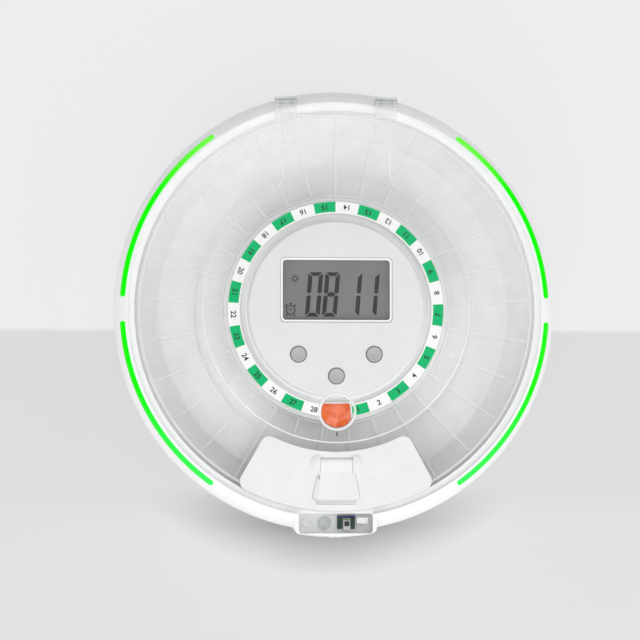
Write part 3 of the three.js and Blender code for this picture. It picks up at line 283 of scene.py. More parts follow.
def bandOutline(inner, outer, start, end, corner, steps=6, long=40):
    # a band between two radii and two angles in degrees, with rounded corners
    outIn = math.degrees(math.asin(corner / (outer - corner)))
    inIn = math.degrees(math.asin(corner / (inner + corner)))

    def at(r, a):
        return (r * math.cos(math.radians(a)), r * math.sin(math.radians(a)))
    points = arc(at(outer - corner, start + outIn), corner, start - 90, start + outIn, steps)
    points += arc((0, 0), outer, start + outIn, end - outIn, long)[1:-1]
    points += arc(at(outer - corner, end - outIn), corner, end - outIn, end + 90, steps)
    points += arc(at(inner + corner, end - inIn), corner, end + 90, end + 180 - inIn, steps)
    points += arc((0, 0), inner, end - inIn, start + inIn, long)[1:-1]
    points += arc(at(inner + corner, start + inIn), corner, start + 180 + inIn, start + 270, steps)
    return points


def flowThrough(points, steps=6):
    # a smooth line through the points, with its ends kept
    line = []
    for i in range(len(points) - 1):
        a, b = Vector(points[max(i - 1, 0)]), Vector(points[i])
        c, d = Vector(points[i + 1]), Vector(points[min(i + 2, len(points) - 1)])
        for k in range(steps):
            t = k / steps
            line.append(tuple(0.5 * (2 * b + (c - a) * t + (2 * a - 5 * b + 4 * c - d) * t * t
                                     + (3 * b - a - 3 * c + d) * t ** 3)))
    return line + [tuple(points[-1])]


def roundedRectangle(width, depth, corner, x=0, y=0, steps=6):
    w, d = width / 2 - corner, depth / 2 - corner
    return (arc((x + w, y + d), corner, 0, 90, steps) + arc((x - w, y + d), corner, 90, 180, steps)
            + arc((x - w, y - d), corner, 180, 270, steps) + arc((x + w, y - d), corner, 270, 360, steps))


def printFlat(outlines, height, name, thickness=0.03):
    # thin shapes lying at one height, as one piece
    bm = bmesh.new()
    for outline in outlines:
        face = bm.faces.new([bm.verts.new((x, y, height)) for x, y in outline])
        made = bmesh.ops.extrude_face_region(bm, geom=[face], use_keep_orig=True)
        top = [v for v in made["geom"] if isinstance(v, bmesh.types.BMVert)]
        bmesh.ops.translate(bm, verts=top, vec=(0, 0, thickness))
    return shapeFrom(bm, name)


view = {
    "lean": 5.0,  # degrees off straight down
    "towards": 225,  # the side that the camera leans to
    "distance": 1.15,
    "spread": 0.3205,  # metres across the picture at the aim's level
    "aim": (-0.0070, -0.0045, 0.031),  # metres
}


def placeCamera():
    lens = bpy.data.cameras.new("camera")
    camera = bpy.data.objects.new("camera", lens)
    bpy.context.scene.collection.objects.link(camera)
    lean, towards = math.radians(view["lean"]), math.radians(view["towards"])
    out = Vector((math.sin(lean) * math.cos(towards), math.sin(lean) * math.sin(towards), math.cos(lean)))
    right = Vector((0, 1, 0)).cross(out).normalized()
    up = out.cross(right)
    turn = Matrix((right, up, out)).transposed().to_4x4()
    camera.matrix_world = Matrix.Translation(Vector(view["aim"]) + out * view["distance"]) @ turn
    lens.angle = 2 * math.atan(view["spread"] / 2 / view["distance"])
    lens.clip_end = 50
    bpy.context.scene.camera = camera


placeCamera()
print("camera placed")


# injection-moulded ABS with a soft gloss: near white, faint grain
whiteAbs = grainedPlastic("whiteAbs", ("F1F2F2", "F4F5F5"), (0.30, 0.40), IOR=1.53)
# the console is moulded in a shade less white
consoleAbs = grainedPlastic("consoleAbs", ("DFE0E0", "E3E4E4"), (0.34, 0.44), IOR=1.5)
# the same ABS on the moving gate and panel, a little greyer
panelAbs = grainedPlastic("panelAbs", ("E4E4E4", "E7E7E7"), (0.32, 0.42), IOR=1.53)
# acetal for the small gears: waxy white
acetal = grainedPlastic("acetal", ("E4E3DE", "EAE9E4"), (0.35, 0.45), IOR=1.48)
# mid-grey keys with a fine spark-eroded grain
keyPlastic = grainedPlastic("keyPlastic", ("B0B0B0", "B6B6B6"), (0.45, 0.55), grain=0.2, bump=0.08, IOR=1.5)
# moulded rubber for feet and the key mat: dull and dark
footRubber = grainedPlastic("footRubber", ("343536", "3C3D3E"), (0.72, 0.85), grain=0.3, bump=0.2, IOR=1.5)
# black glass-filled nylon for the small electrical parts
blackNylon = grainedPlastic("blackNylon", ("1B1C1D", "242526"), (0.45, 0.6), grain=0.2, bump=0.1, IOR=1.53)
# polycarbonate lid: polished and colourless
clearLid = clearPlastic("clearLid", "F6F8F8", 0.012, 0.4)
# the same at the hinges, painted grey for the shade that their thick walls and what lies behind them give
hingeShadeLid = clearPlastic("hingeShadeLid", "DEE0E0", 0.42, 0.7, 0.12)
displayCover = clearPlastic("displayCover", "F4F6F6", 0.006, 0.3, 0.03, 1.49)


def frostedPolypropylene(name, veil):
    # milky, half see-through: a fine etched skin that scatters light
    material, tree = startMaterial(name)
    place = addNode(tree, "ShaderNodeTexCoord").outputs["Object"]
    cloud = addNode(tree, "ShaderNodeTexNoise", {"Scale": 1 / (14 * mm), "Detail": 4.0}, {"Vector": place})
    milk = addNode(tree, "ShaderNodeValToRGB", links={"Fac": cloud.outputs["Fac"]})
    for element, colour, position in zip(milk.color_ramp.elements, ("E4E5E5", "EDEEEE"), (0.3, 0.7)):
        element.color = linear(colour)
        element.position = position
    etch = addNode(tree, "ShaderNodeTexNoise", {"Scale": 1 / (0.3 * mm), "Detail": 2.0}, {"Vector": place})
    relief = addNode(tree, "ShaderNodeBump", {"Strength": 0.08, "Distance": 0.1 * mm},
                     {"Height": etch.outputs["Fac"]})
    skin = addNode(tree, "ShaderNodeBsdfPrincipled", {"Roughness": 0.36, "IOR": 1.49},
                   {"Base Color": milk.outputs["Color"], "Normal": relief.outputs["Normal"]})
    depth = addNode(tree, "ShaderNodeMapRange", {"To Min": veil * 0.9, "To Max": veil * 1.1},
                    {"Value": cloud.outputs["Fac"]})
    # marked faces show a painted highlight through their raised share of skin
    seeThrough(tree, rimOr(tree, depth.outputs["Result"]), skin.outputs["BSDF"], "FCFCFC")
    return material


def lensAcrylic():
    # cast acrylic, fully clear, bends light; shadow rays pass so that what lies under it is lit
    material, tree = startMaterial("lensAcrylic")
    place = addNode(tree, "ShaderNodeTexCoord").outputs["Object"]
    polish = addNode(tree, "ShaderNodeTexNoise", {"Scale": 1 / (6 * mm)}, {"Vector": place})
    gloss = addNode(tree, "ShaderNodeMapRange", {"To Min": 0.0, "To Max": 0.02}, {"Value": polish.outputs["Fac"]})
    skin = addNode(tree, "ShaderNodeBsdfPrincipled", {
        "Base Color": linear("FFFFFF"), "IOR": 1.49, "Specular IOR Level": 0.0, "Transmission Weight": 1.0},
        {"Roughness": gloss.outputs["Result"]})
    empty = addNode(tree, "ShaderNodeBsdfTransparent")
    path = addNode(tree, "ShaderNodeLightPath")
    mix = addNode(tree, "ShaderNodeMixShader", links={
        0: path.outputs["Is Shadow Ray"], 1: skin.outputs["BSDF"], 2: empty.outputs["BSDF"]})
    endMaterial(tree, mix.outputs["Shader"])
    return material


def litGuide():
    # cast acrylic light guide, lit green: vivid along its inner edge, deeper outside, paler towards its far ends
    material, tree = startMaterial("litGuide")
    place = addNode(tree, "ShaderNodeTexCoord").outputs["Object"]
    parts = addNode(tree, "ShaderNodeSeparateXYZ", links={"Vector": place})
    flat = addNode(tree, "ShaderNodeCombineXYZ", links={"X": parts.outputs["X"], "Y": parts.outputs["Y"]})
    reach = addNode(tree, "ShaderNodeVectorMath", {"operation": "LENGTH"}, {0: flat.outputs["Vector"]})
    across = addNode(tree, "ShaderNodeMapRange", {"From Min": 104.3 * mm, "From Max": 106.7 * mm},
                     {"Value": reach.outputs["Value"]})
    glow = addNode(tree, "ShaderNodeValToRGB", links={"Fac": across.outputs["Result"]})
    for element, colour, position in zip(glow.color_ramp.elements, ("00FF00", "1CCB00"), (0.45, 0.8)):
        element.color = linear(colour)
        element.position = position
    colour = glow.outputs["Color"]
    for tone, start, end, most in (("72D848", 60, 84, 0.7), ("38F05C", -40, -88, 0.7)):
        near = addNode(tree, "ShaderNodeMapRange", {"From Min": start * mm, "From Max": end * mm, "To Max": most},
                       {"Value": parts.outputs["Y"]})
        blend = addNode(tree, "ShaderNodeMix", {"data_type": "RGBA"}, {0: near.outputs["Result"], 6: colour})
        blend.inputs[7].default_value = linear(tone)
        colour = blend.outputs[2]
    skin = addNode(tree, "ShaderNodeBsdfPrincipled", {
        "Roughness": 0.4, "Specular IOR Level": 0.1, "Emission Strength": 0.6},
        {"Base Color": colour, "Emission Color": colour})
    endMaterial(tree, skin.outputs["BSDF"])
    return material


def printedInk(name, colour, other, roughness=0.5, size=2.5):
    # screen-printed ink: slightly uneven cover
    material, tree = startMaterial(name)
    place = addNode(tree, "ShaderNodeTexCoord").outputs["Object"]
    cover = addNode(tree, "ShaderNodeTexNoise", {"Scale": 1 / (size * mm), "Detail": 4.0}, {"Vector": place})
    ink = addNode(tree, "ShaderNodeValToRGB", links={"Fac": cover.outputs["Fac"]})
    for element, shade, position in zip(ink.color_ramp.elements, (colour, other), (0.35, 0.65)):
        element.color = linear(shade)
        element.position = position
    skin = addNode(tree, "ShaderNodeBsdfPrincipled", {"Roughness": roughness, "Specular IOR Level": 0.1},
                   {"Base Color": ink.outputs["Color"]})
    endMaterial(tree, skin.outputs["BSDF"])
    return material


def drawnMetal(name, colour, roughness, streak):
    # drawn or turned metal: fine streaks in the roughness
    material, tree = startMaterial(name)
    place = addNode(tree, "ShaderNodeTexCoord").outputs["Object"]
    stretch = addNode(tree, "ShaderNodeMapping", {"Scale": streak}, {"Vector": place})
    lines = addNode(tree, "ShaderNodeTexNoise", {"Scale": 1 / (0.5 * mm), "Detail": 3.0},
                    {"Vector": stretch.outputs["Vector"]})
    gloss = addNode(tree, "ShaderNodeMapRange", {"To Min": roughness * 0.8, "To Max": roughness * 1.3},
                    {"Value": lines.outputs["Fac"]})
    skin = addNode(tree, "ShaderNodeBsdfPrincipled", {"Base Color": linear(colour), "Metallic": 1.0},
                   {"Roughness": gloss.outputs["Result"]})
    endMaterial(tree, skin.outputs["BSDF"])
    return material


def solderMask(name, colour, other, runColour):
    # green solder mask with the copper runs showing through as paler lines
    material, tree = startMaterial(name)
    place = addNode(tree, "ShaderNodeTexCoord").outputs["Object"]
    runs = addNode(tree, "ShaderNodeTexBrick", {"Scale": 1 / (2.2 * mm), "Color1": linear(colour),
                                                "Color2": linear(other), "Mortar": linear(runColour),
                                                "Mortar Size": 0.05}, {"Vector": place})
    skin = addNode(tree, "ShaderNodeBsdfPrincipled", {"Roughness": 0.45, "Specular IOR Level": 0.25},
                   {"Base Color": runs.outputs["Color"]})
    endMaterial(tree, skin.outputs["BSDF"])
    return material


frosted = frostedPolypropylene("frostedPolypropylene", 0.45)
frostedFins = frostedPolypropylene("frostedFins", 0.12)
acrylic = lensAcrylic()
greenGuide = litGuide()
greenInk = printedInk("greenInk", "00B56C", "02BC73")
whiteInk = printedInk("whiteInk", "F6F6F5", "FAFAF9")
blackInk = printedInk("blackInk", "1E1F1A", "2C2D26")
orangeInk = printedInk("orangeInk", "CE4000", "E66A00", 0.7, 1.1)
displayInk = printedInk("displayInk", "332F2D", "3B3836", 0.4)
displayGlass = printedInk("displayGlass", "7C7E7D", "838584", 0.3, 20)
# printed border, whiter than the cap: print with a painted highlight
bezelInkAndHighlight = printedInk("bezelInkAndHighlight", "FAFAFA", "FDFDFD", 0.3, 6)
brightSteel = drawnMetal("brightSteel", "B9BDC0", 0.28, (1, 1, 12))
platedLock = drawnMetal("platedLock", "C9CBCC", 0.14, (1, 12, 1))
batteryJacket = drawnMetal("batteryJacket", "4C5763", 0.32, (12, 1, 12))
springWire = drawnMetal("springWire", "D2D5D6", 0.45, (1, 1, 12))
boardMask = solderMask("solderMask", "0A2018", "102E22", "34604A")
paleMask = solderMask("paleSolderMask", "7FA763", "8DB474", "A9C79A")
navyNylon = grainedPlastic("navyNylon", ("141B58", "1C2468"), (0.5, 0.6), grain=0.2, bump=0.08, IOR=1.4)
print("materials made")


casing = {
    "bowl": [(104, 4.49), (107.6, 12.38), (109.46, 22.75), (109.97, 31.05), (109.56, 36.45), (108.44, 39.35),
             (106.93, 41.8)],
    "wall": 2.4,
    "lip": 43.5, "ledge": 102.7, "ledgeLevel": 41.8, "well": 99.6, "wellOuter": 101.7,
    "deck": 22.9, "deckUnder": 20.9, "wireHole": 14, "rib": (70, 72, 24.6),
    "blockHalf": 20.5, "blockReach": 112.99, "blockFoot": 16, "blockTop": 44.5, "chin": 6,
    "corner": 6.0, "cornerPlace": 106.3, "flare": 4.2, "flareFrom": 104.8,
    "chinWall": 17.6, "hollowHalf": 14.8, "hollowTop": 32.4,
    "pocketHalf": 18.3, "pocketBack": 100.9, "pocketFront": 110.6, "pocketFloor": 34.0,
}


def makeCasing():
    c = casing
    bowl = flowThrough([(99.6, 2.0)] + c["bowl"], 5)
    inside = [(r - c["wall"], z) for r, z in bowl if 5 < z < 38.5][::-1]
    rounded = flowThrough([(103.9, 43.26), (103.55, 43.47), (103.3, c["lip"])], 3)
    profile = ([(98.0, 2.0)] + bowl + rounded + [(102.95, c["lip"])]
               + [(c["ledge"], 43.3), (c["ledge"], c["ledgeLevel"]),
               (c["well"], c["ledgeLevel"]), (c["well"], c["deck"]), (c["wireHole"], c["deck"]),
               (c["wireHole"], c["deckUnder"]), (c["wellOuter"], c["deckUnder"]),
               (c["wellOuter"], 39.4), (104.5, 39.4)] + inside + [(98.0, 4.9)])
    body = shapeFrom(spun(profile, 240), "casing")
    # lock block: a turned wedge trimmed to its width
    side = [(99.9, c["blockFoot"]), (c["blockReach"] - c["chin"], c["blockFoot"])]
    side += arc((c["blockReach"] - 3, 25.2), 3, -40, 0, 8) + [(c["blockReach"] - 0.3, 35)]
    side += arc((c["blockReach"] - 2.3, c["blockTop"] - 1.2), 1.2, 10, 90, 8)
    side += [(c["ledge"], c["blockTop"]), (c["ledge"], c["ledgeLevel"]), (99.9, c["ledgeLevel"])]
    block = shapeFrom(spun(side, 40, (-90 - 16, -90 + 16)), "block")
    half, flare, start = c["blockHalf"], c["flare"], c["flareFrom"]
    plan = ([(half + flare, -80)] + arc((half + flare, -start), flare, 90, 180, 8)
            + arc((half - c["corner"], -c["cornerPlace"]), c["corner"], 0, -75, 10) + [(0, -118)])
    plan += [(-x, y) for x, y in plan[-2::-1]]
    carve(block, prism(plan, 0, 60), "INTERSECT")
    carve(body, inMillimetres(block), "UNION")
    for start, end in guides["turns"]:
        carve(body, prism(bandOutline(guides["inner"] - 0.1, guides["outer"] + 0.1, start - 0.06, end + 0.06, 1.2,
                                      6, 48), guides["low"] - 1, 60))
    # pocket under the lid's window
    depth = c["pocketFront"] - c["pocketBack"]
    carve(body, prism(roundedRectangle(2 * c["pocketHalf"], depth, 1.6, 0, -(c["pocketBack"] + depth / 2)),
                      c["pocketFloor"], 60))
    carve(body, prism(roundedRectangle(2 * c["pocketHalf"], c["pocketFront"] - 97, 1.6, 0,
                                       -(c["pocketFront"] + 97) / 2), c["ledgeLevel"], 60))
    # room for the cam behind the lock, with the slot that the lid's hook comes through
    low, high, reach = c["chinWall"], c["hollowTop"], c["pocketFront"]
    carve(body, prism([(-102, low), (-105.6, low), (-reach, 26.4), (-reach, high), (-102, high)],
                      -c["hollowHalf"], c["hollowHalf"], "YZ"))
    carve(body, boxed((-c["pocketHalf"], c["pocketHalf"]), (-103.7, -99.6), (15, 18.6)))
    carve(body, boxed((11.1, 15.5), (-106.2, -103.4), (31.4, 35)))
    carve(body, shifted(spun([(0, 15), (2.7, 15), (2.7, 23.9), (0, 23.9)], 32, closed=False), 0, pinionPlace))
    inner, outer, top = c["rib"]
    carve(body, spun([(inner, 22.5), (outer, 22.5), (outer, top - 0.3), (outer - 0.3, top),
                      (inner + 0.3, top), (inner, top - 0.3)], 200), "UNION")
    carve(body, rod(lock["barrel"] + 0.3, (-120, -102.0), 0, lock["z"], 64, "Y"))
    carve(body, rod(lock["face"] + 0.3, (-120, -112.1), 0, lock["z"], 64, "Y"))
    return finishPiece(body, whiteAbs, "casing", ["base_shell"])


guides = {"inner": 104.3, "outer": 106.7, "low": 36.2,
          "turns": [(3.3, 54.9), (125.1, 176.7), (183.3, 234.9), (-54.9, -3.3)]}  # degrees
lock = {"z": 28, "barrel": 4.0, "face": 5.0, "front": -113.0, "seat": -112.4, "back": -103.7}
pinionPlace = 40.8  # of the pinion's shaft behind the middle
makeCasing()
print("casing made")


def makeGuides():
    for i, (start, end) in enumerate(guides["turns"]):
        bm = prism(bandOutline(guides["inner"], guides["outer"], start, end, 1.15, 6, 48), guides["low"], 50)
        for v in bm.verts:
            if v.co.z > 45:  # the top follows the slope of the ring
                v.co.z = 43.8 - (math.hypot(v.co.x, v.co.y) - 103.4) * 0.481
        soften(bm, sharpEdges(bm, 50, lambda e: min(v.co.z for v in e.verts) > 40), 0.4, 3)
        piece = shapeFrom(bm, "lightGuide%d" % (i + 1))
        finishPiece(piece, greenGuide, "casing", ["light_pipe_%d" % (i + 1)])


makeGuides()

under = {"footPlace": 84.7, "footRadius": 8, "footHeight": 2.0}


def makeFeet():
    r, h = under["footRadius"], under["footHeight"]
    for i in range(4):
        profile = [(0, 0.25), (5.2, 0.25), (5.6, 0)] + flowThrough([(6.7, 0), (7.7, 0.3), (r, 0.9)], 4)
        profile += [(r, h), (0, h)]
        angle, place = math.radians(90 * i), under["footPlace"]
        foot = shifted(spun(profile, 64, closed=False), place * math.cos(angle), place * math.sin(angle))
        piece = shapeFrom(foot, "foot%d" % (i + 1))
        finishPiece(piece, footRubber, "casing", ["rubber_foot_%d" % (i + 1)])


makeFeet()
print("guides and feet made")


console = {"column": 45.4, "columnInner": 43.2, "columnTop": 44.4, "lip": 48.7, "lipTop": 43.4, "cap": 43.7,
           "capTop": 49.2, "capUnder": 44.7, "seat": 48.1}
screen = {"width": 55, "depth": 31.7, "y": 9.3, "corner": 2.0, "rim": 1.0, "panel": 46.9}
keys = {"keyLeft": (-18.7, -22.5, "button_left", "left_button"),
        "keyRight": (18.7, -22.5, "button_right", "right_button"),
        "keyFront": (0.0, -33.2, "button_front", "front_button")}


def makeConsole():
    c = console
    out, within, top, lip, lipTop = c["column"], c["columnInner"], c["columnTop"], c["lip"], c["lipTop"]
    wall = [(38.2, 22.9), (out, 22.9), (out, lipTop - 0.8), (lip, lipTop - 0.8), (lip, lipTop - 0.2),
            (lip - 0.2, lipTop), (out, lipTop), (out, 44.1), (45.3, 44.3), (45.1, top), (within, top),
            (within, 37.2), (40.0, 37.2), (40.0, 35.2), (within, 32.0), (within, 24.9), (38.2, 24.9)]
    column = shapeFrom(spun(wall, 200), "consoleColumn")
    pinionRoom = spun([(0, 22.0), (11.4, 22.0), (11.4, 29.3), (0, 29.3)], 64, closed=False)
    carve(column, shifted(pinionRoom, 0, pinionPlace))
    finishPiece(column, whiteAbs, "casing", ["console_housing"])
    disc = [(0, 47.2), (41.7, 47.2), (41.7, c["capUnder"]), (c["cap"], c["capUnder"])]
    disc += arc((c["cap"] - 1.2, c["capTop"] - 1.2), 1.2, 0, 90, 8) + [(0, c["capTop"])]
    cap = shapeFrom(spun(disc, 200, closed=False), "consoleCover")
    # recess and opening for the display
    s = screen
    recess = roundedRectangle(s["width"] + 0.6, s["depth"] + 0.6, s["corner"] + 0.3, 0, s["y"])
    carve(cap, prism(recess, c["seat"], 60))
    wide, deep = s["width"] - 2 * s["rim"], s["depth"] - 2 * s["rim"]
    carve(cap, prism(roundedRectangle(wide, deep, s["corner"] - 0.4, 0, s["y"]), 40, 60))
    for x, y, _, _ in keys.values():
        hole = spun([(0, 40), (4.05, 40), (4.05, 48.9), (4.35, 49.25), (4.35, 60), (0, 60)], 64, closed=False)
        carve(cap, shifted(hole, x, y))
    finishPiece(cap, consoleAbs, "casing", ["console_cover"])


def makeScreen():
    s = screen
    top = console["capTop"]
    cover = prism(roundedRectangle(s["width"], s["depth"], s["corner"], 0, s["y"], 8), console["seat"], top)
    soften(cover, sharpEdges(cover, 60, lambda e: min(v.co.z for v in e.verts) > 49), 0.2, 2)
    finishPiece(shapeFrom(cover, "screenCover"), displayCover, "casing", ["display_window"])
    # white border printed on the window, over the ledge that carries it; its pure white is also a painted highlight
    # of the bezel's edge
    border = shapeFrom(prism(roundedRectangle(s["width"] - 0.3, s["depth"] - 0.3, s["corner"] - 0.1, 0, s["y"]),
                             top, top + 0.03), "screenBorder")
    wide, deep = s["width"] - 2 * s["rim"], s["depth"] - 2 * s["rim"]
    carve(border, prism(roundedRectangle(wide, deep, s["corner"] - 0.4, 0, s["y"]), 49, 50))
    finishPiece(border, bezelInkAndHighlight, "casing")
    panel = prism(roundedRectangle(s["width"], s["depth"], 0.8, 0, s["y"], 4), 43.7, s["panel"])
    finishPiece(shapeFrom(panel, "screenPanel"), displayGlass, "casing", ["display_module"])


def makeKeys():
    for name, (x, y, node, body) in keys.items():
        profile = [(0, 44.7), (3, 44.7), (3, 45.5), (4.9, 45.5), (4.9, 46.9), (3.72, 46.9), (3.72, 49.55)]
        profile += arc((3.42, 49.62), 0.3, 0, 90, 4) + [(2.9, 49.92), (2.7, 49.8), (0, 49.8)]
        key = shifted(spun(profile, 64, closed=False), x, y)
        finishPiece(shapeFrom(key, name), keyPlastic, body, [node])


# seven-segment strokes on the display: slanted, mitred at the corners and pointed at the middle
digits = {"height": 22.0, "width": 7.3, "stroke": 2.1, "gap": 0.28, "slant": 0.085, "foot": -3.8,
          "places": [(-15.5, "0"), (-7.1, "8"), (4.0, "1"), (12.6, "1")]}
digitParts = {"0": "abcdef", "8": "abcdefg", "1": "bc"}


def digitStrokes():
    h, w, t, g = digits["height"], digits["width"], digits["stroke"], digits["gap"]
    m, bend = h / 2, t / 2
    strokes = {
        "a": [(g + 0.3, h), (w - g - 0.3, h), (w - g - t + 0.2, h - t + 0.2), (g + t - 0.2, h - t + 0.2)],
        "f": [(0, m + 1.0), (bend, m + 0.35), (t, m + 1.0), (t, h - t - g), (0.45, h - 0.45 - g), (0, h - 1.0)],
        "g": [(bend + 0.4, m), (t + 0.1, m + 0.85), (t + 0.8, m + 1.1), (w - t - 0.8, m + 1.1),
              (w - t - 0.1, m + 0.85), (w - bend - 0.4, m), (w - t - 0.1, m - 0.85), (w - t - 0.8, m - 1.1),
              (t + 0.8, m - 1.1), (t + 0.1, m - 0.85)],
    }
    strokes["d"] = [(x, h - y) for x, y in strokes["a"]][::-1]
    strokes["b"] = [(w - x, y) for x, y in strokes["f"]][::-1]
    strokes["e"] = [(x, h - y) for x, y in strokes["f"]][::-1]
    strokes["c"] = [(w - x, h - y) for x, y in strokes["f"]]
    return [[(left + x + y * digits["slant"], digits["foot"] + y) for x, y in strokes[part]]
            for left, digit in digits["places"] for part in digitParts[digit]]


def bar(x0, y0, x1, y1, thick):
    a, b = Vector((x0, y0)), Vector((x1, y1))
    side = (b - a).normalized().orthogonal() * thick / 2
    return [tuple(a + side), tuple(b + side), tuple(b - side), tuple(a - side)]


def ringParts(x, y, radius, thick, pieces=16):
    return [arc((x, y), radius + thick / 2, i * 360 / pieces, (i + 1) * 360 / pieces, 2)
            + arc((x, y), radius - thick / 2, (i + 1) * 360 / pieces, i * 360 / pieces, 2) for i in range(pieces)]


def makePictograms():
    # an alarm clock and a small sun
    x, y = -22.5, -0.6
    clock = ringParts(x, y, 2.15, 0.5, 24)
    clock += [bar(x - 1.0, y + 0.9, x, y - 0.1, 0.4), bar(x, y - 0.1, x + 1.0, y + 0.9, 0.4),
              bar(x - 1.5, y - 1.9, x - 2.3, y - 3.1, 0.5), bar(x + 1.5, y - 1.9, x + 2.3, y - 3.1, 0.5),
              bar(x - 2.6, y + 1.9, x - 1.8, y + 2.6, 0.8), bar(x + 2.6, y + 1.9, x + 1.8, y + 2.6, 0.8),
              bar(x - 0.65, y + 3.2, x + 0.65, y + 3.2, 0.6), bar(x, y + 2.3, x, y + 3.2, 0.5)]
    x, y = -20.4, 15.0
    sun = ringParts(x, y, 1.0, 0.5, 24)
    sun += [bar(x + 1.6 * math.cos(a), y + 1.6 * math.sin(a), x + 2.3 * math.cos(a), y + 2.3 * math.sin(a), 0.4)
            for a in (math.pi * i / 4 for i in range(8))]
    drawn = printFlat(digitStrokes() + clock + sun, screen["panel"] + 0.01, "screenDrawing")
    finishPiece(drawn, displayInk, "casing")
    # faint raised marks over the keys
    marks = ringParts(18.8, -14.4, 1.1, 0.35) + ringParts(-0.1, -24.3, 0.8, 0.3) + ringParts(-0.1, -26.2, 0.9, 0.3)
    marks += [bar(-19.9, -15.5, -17.7, -15.5, 0.3), bar(-19.7, -15.4, -18.8, -13.2, 0.3),
              bar(-17.9, -15.4, -18.8, -13.2, 0.3)]
    raised = printFlat(marks, console["capTop"] - 0.02, "keyMarks", 0.12)
    finishPiece(raised, consoleAbs, "casing")


makeConsole()
makeScreen()
makeKeys()
makePictograms()
print("console made")


tray = {"places": 29, "floor": 26.7, "rim": 42.5, "hub": 55.6, "hubTop": 45.1}
fin = {"inner": 56.5, "half": 0.6, "foot": 27.0, "top": 42.3, "hubTop": 44.8}
numbers = {"inner": 47.5, "outer": 53.5, "low": 45.4, "top": 46.2, "size": 3.6, "bold": 0.07, "place": 50.9}
marker = {"inner": 48.0, "outer": 56.7, "half": 10.6, "low": 46.5, "top": 47.1}


def makeTray():
    floor, rim, hub, hubTop = tray["floor"], tray["rim"], tray["hub"], tray["hubTop"]
    rounded = flowThrough([(88.4 - 2.0, floor), (88.4 - 0.6, 26.95), (88.4 + 0.35, 28.2)], 4)
    profile = ([(54.0, 24.9), (89.0, 24.9)] + flowThrough([(89.6, 24.95), (90.1, 25.4), (90.4, 26.1)], 3)
               + [(98.1, 42.1), (98.0, 42.4), (97.6, rim), (96.9, rim), (96.6, 42.3)] + rounded[::-1]
               + flowThrough([(57.2, floor), (55.9, 27.0), (hub, 28.0)], 4)
               + [(hub, 44.8), (55.3, hubTop), (48.1, hubTop), (47.85, 44.9), (47.8, 43.7), (54.0, 43.7)])
    bowl = shapeFrom(spun(profile, 232), "trayBowl")
    # painted highlight: the top of the tray's wall shows paler
    markRim(bowl, 0.6, lambda at, way: at.z > 42.2 and way.z > 0.5)
    finishPiece(bowl, frosted, "tray",
                ["pill_tray", "tray_wall", "tray_hub"])


def makeDividers():
    pitch = 2 * math.pi / tray["places"]
    f = fin
    low, high = f["foot"], f["hubTop"]
    sleeve = spun([(55.9, low), (57.1, low), (57.1, 44.55), (56.9, high), (56.1, high), (55.9, 44.6)], 232)
    slope = (98.2 - 90) / 15.8  # of the tray's outer wall
    foot, top = 90 - 1.6 - 0.35 + slope * 0.3, 90 - 1.6 - 0.35 + slope * 15.6
    parts = [shapeFrom(sleeve, "sleeve")]
    for i in range(tray["places"]):
        blade = prism([(f["inner"], low), (foot, low), (top, f["top"]), (f["inner"], high)],
                      -f["half"], f["half"], "YZ")
        soften(blade, sharpEdges(blade, 40, lambda e: max(abs(v.co.y) for v in e.verts) > 58
                                 and min(v.co.z for v in e.verts) > 28), 0.3, 2)
        turn = Matrix.Rotation((i + 0.5) * pitch + math.pi, 3, "Z")
        bmesh.ops.rotate(blade, verts=blade.verts, cent=(0, 0, 0), matrix=turn)
        parts.append(shapeFrom(blade, "fin"))
    fins = joined("trayDividers", [part.data for part in parts])
    for part in parts:
        bpy.data.objects.remove(part)
    # painted highlight: the fins' top edges show paler
    markRim(fins, 0.25, lambda at, way: way.z > 0.4 and at.z > 40)
    finishPiece(fins, frostedFins, "tray", ["tray_dividers"])


def makeNumberRing():
    n = numbers
    inner, outer, low, top = n["inner"], n["outer"], n["low"], n["top"]
    base = spun([(inner, low), (outer, low), (outer, top - 0.1), (outer - 0.1, top), (inner + 0.1, top),
                 (inner, top - 0.1)], 232)
    finishPiece(shapeFrom(base, "numberRing"), whiteInk, "tray", ["dose_ring"])
    pitch = 360 / tray["places"]
    blocks, meshes = [], []
    for i in range(1, tray["places"]):
        middle = -90 + i * pitch
        if i % 2:
            start, end = middle - pitch / 2 + 0.25, middle + pitch / 2 - 0.25
            blocks.append(arc((0, 0), outer - 0.15, start, end, 12) + arc((0, 0), 48.25, end, start, 12))
        text = bpy.data.curves.new("number", "FONT")
        text.body, text.size, text.offset = str(i), n["size"], n["bold"]
        text.align_x, text.align_y = "CENTER", "CENTER"
        mark = bpy.data.objects.new("number", text)
        bpy.context.scene.collection.objects.link(mark)
        graph = bpy.context.evaluated_depsgraph_get()
        mesh = bpy.data.meshes.new_from_object(mark.evaluated_get(graph))
        angle = math.radians(middle)
        place = Matrix.Translation((n["place"] * math.cos(angle), n["place"] * math.sin(angle), 46.255))
        mesh.transform(Matrix.Scale(mm, 4) @ place @ Matrix.Rotation(angle + math.pi / 2, 4, "Z"))
        meshes.append(mesh)
        bpy.data.objects.remove(mark)
    tiles = printFlat(blocks, 46.19, "greenBlocks", 0.04)
    finishPiece(tiles, greenInk, "tray")
    finishPiece(joined("doseNumbers", meshes), blackInk, "tray")


def makeMarker():
    m = marker
    half = math.degrees(m["half"] / (m["inner"] + m["outer"]))
    bm = prism(bandOutline(m["inner"], m["outer"], -90 - half, -90 + half, 0.6, 4, 12), m["low"], m["top"])
    soften(bm, sharpEdges(bm, 60, lambda e: min(v.co.z for v in e.verts) > 47), 0.15, 2)
    finishPiece(shapeFrom(bm, "homeMarker"), orangeInk, "tray", ["home_marker"])


makeTray()
makeDividers()
makeNumberRing()
makeMarker()
print("tray made")


lid = {"outer": 102.2, "inner": 98.6, "under": 42.1, "rim": 45.1, "foot": 66.3, "plateau": 52.2, "step": 1.4,
       "wall": 1.8, "neckHalf": 27, "fillet": 10, "neckEnd": 97.4, "neckDrop": 3.6, "neckStart": 66}


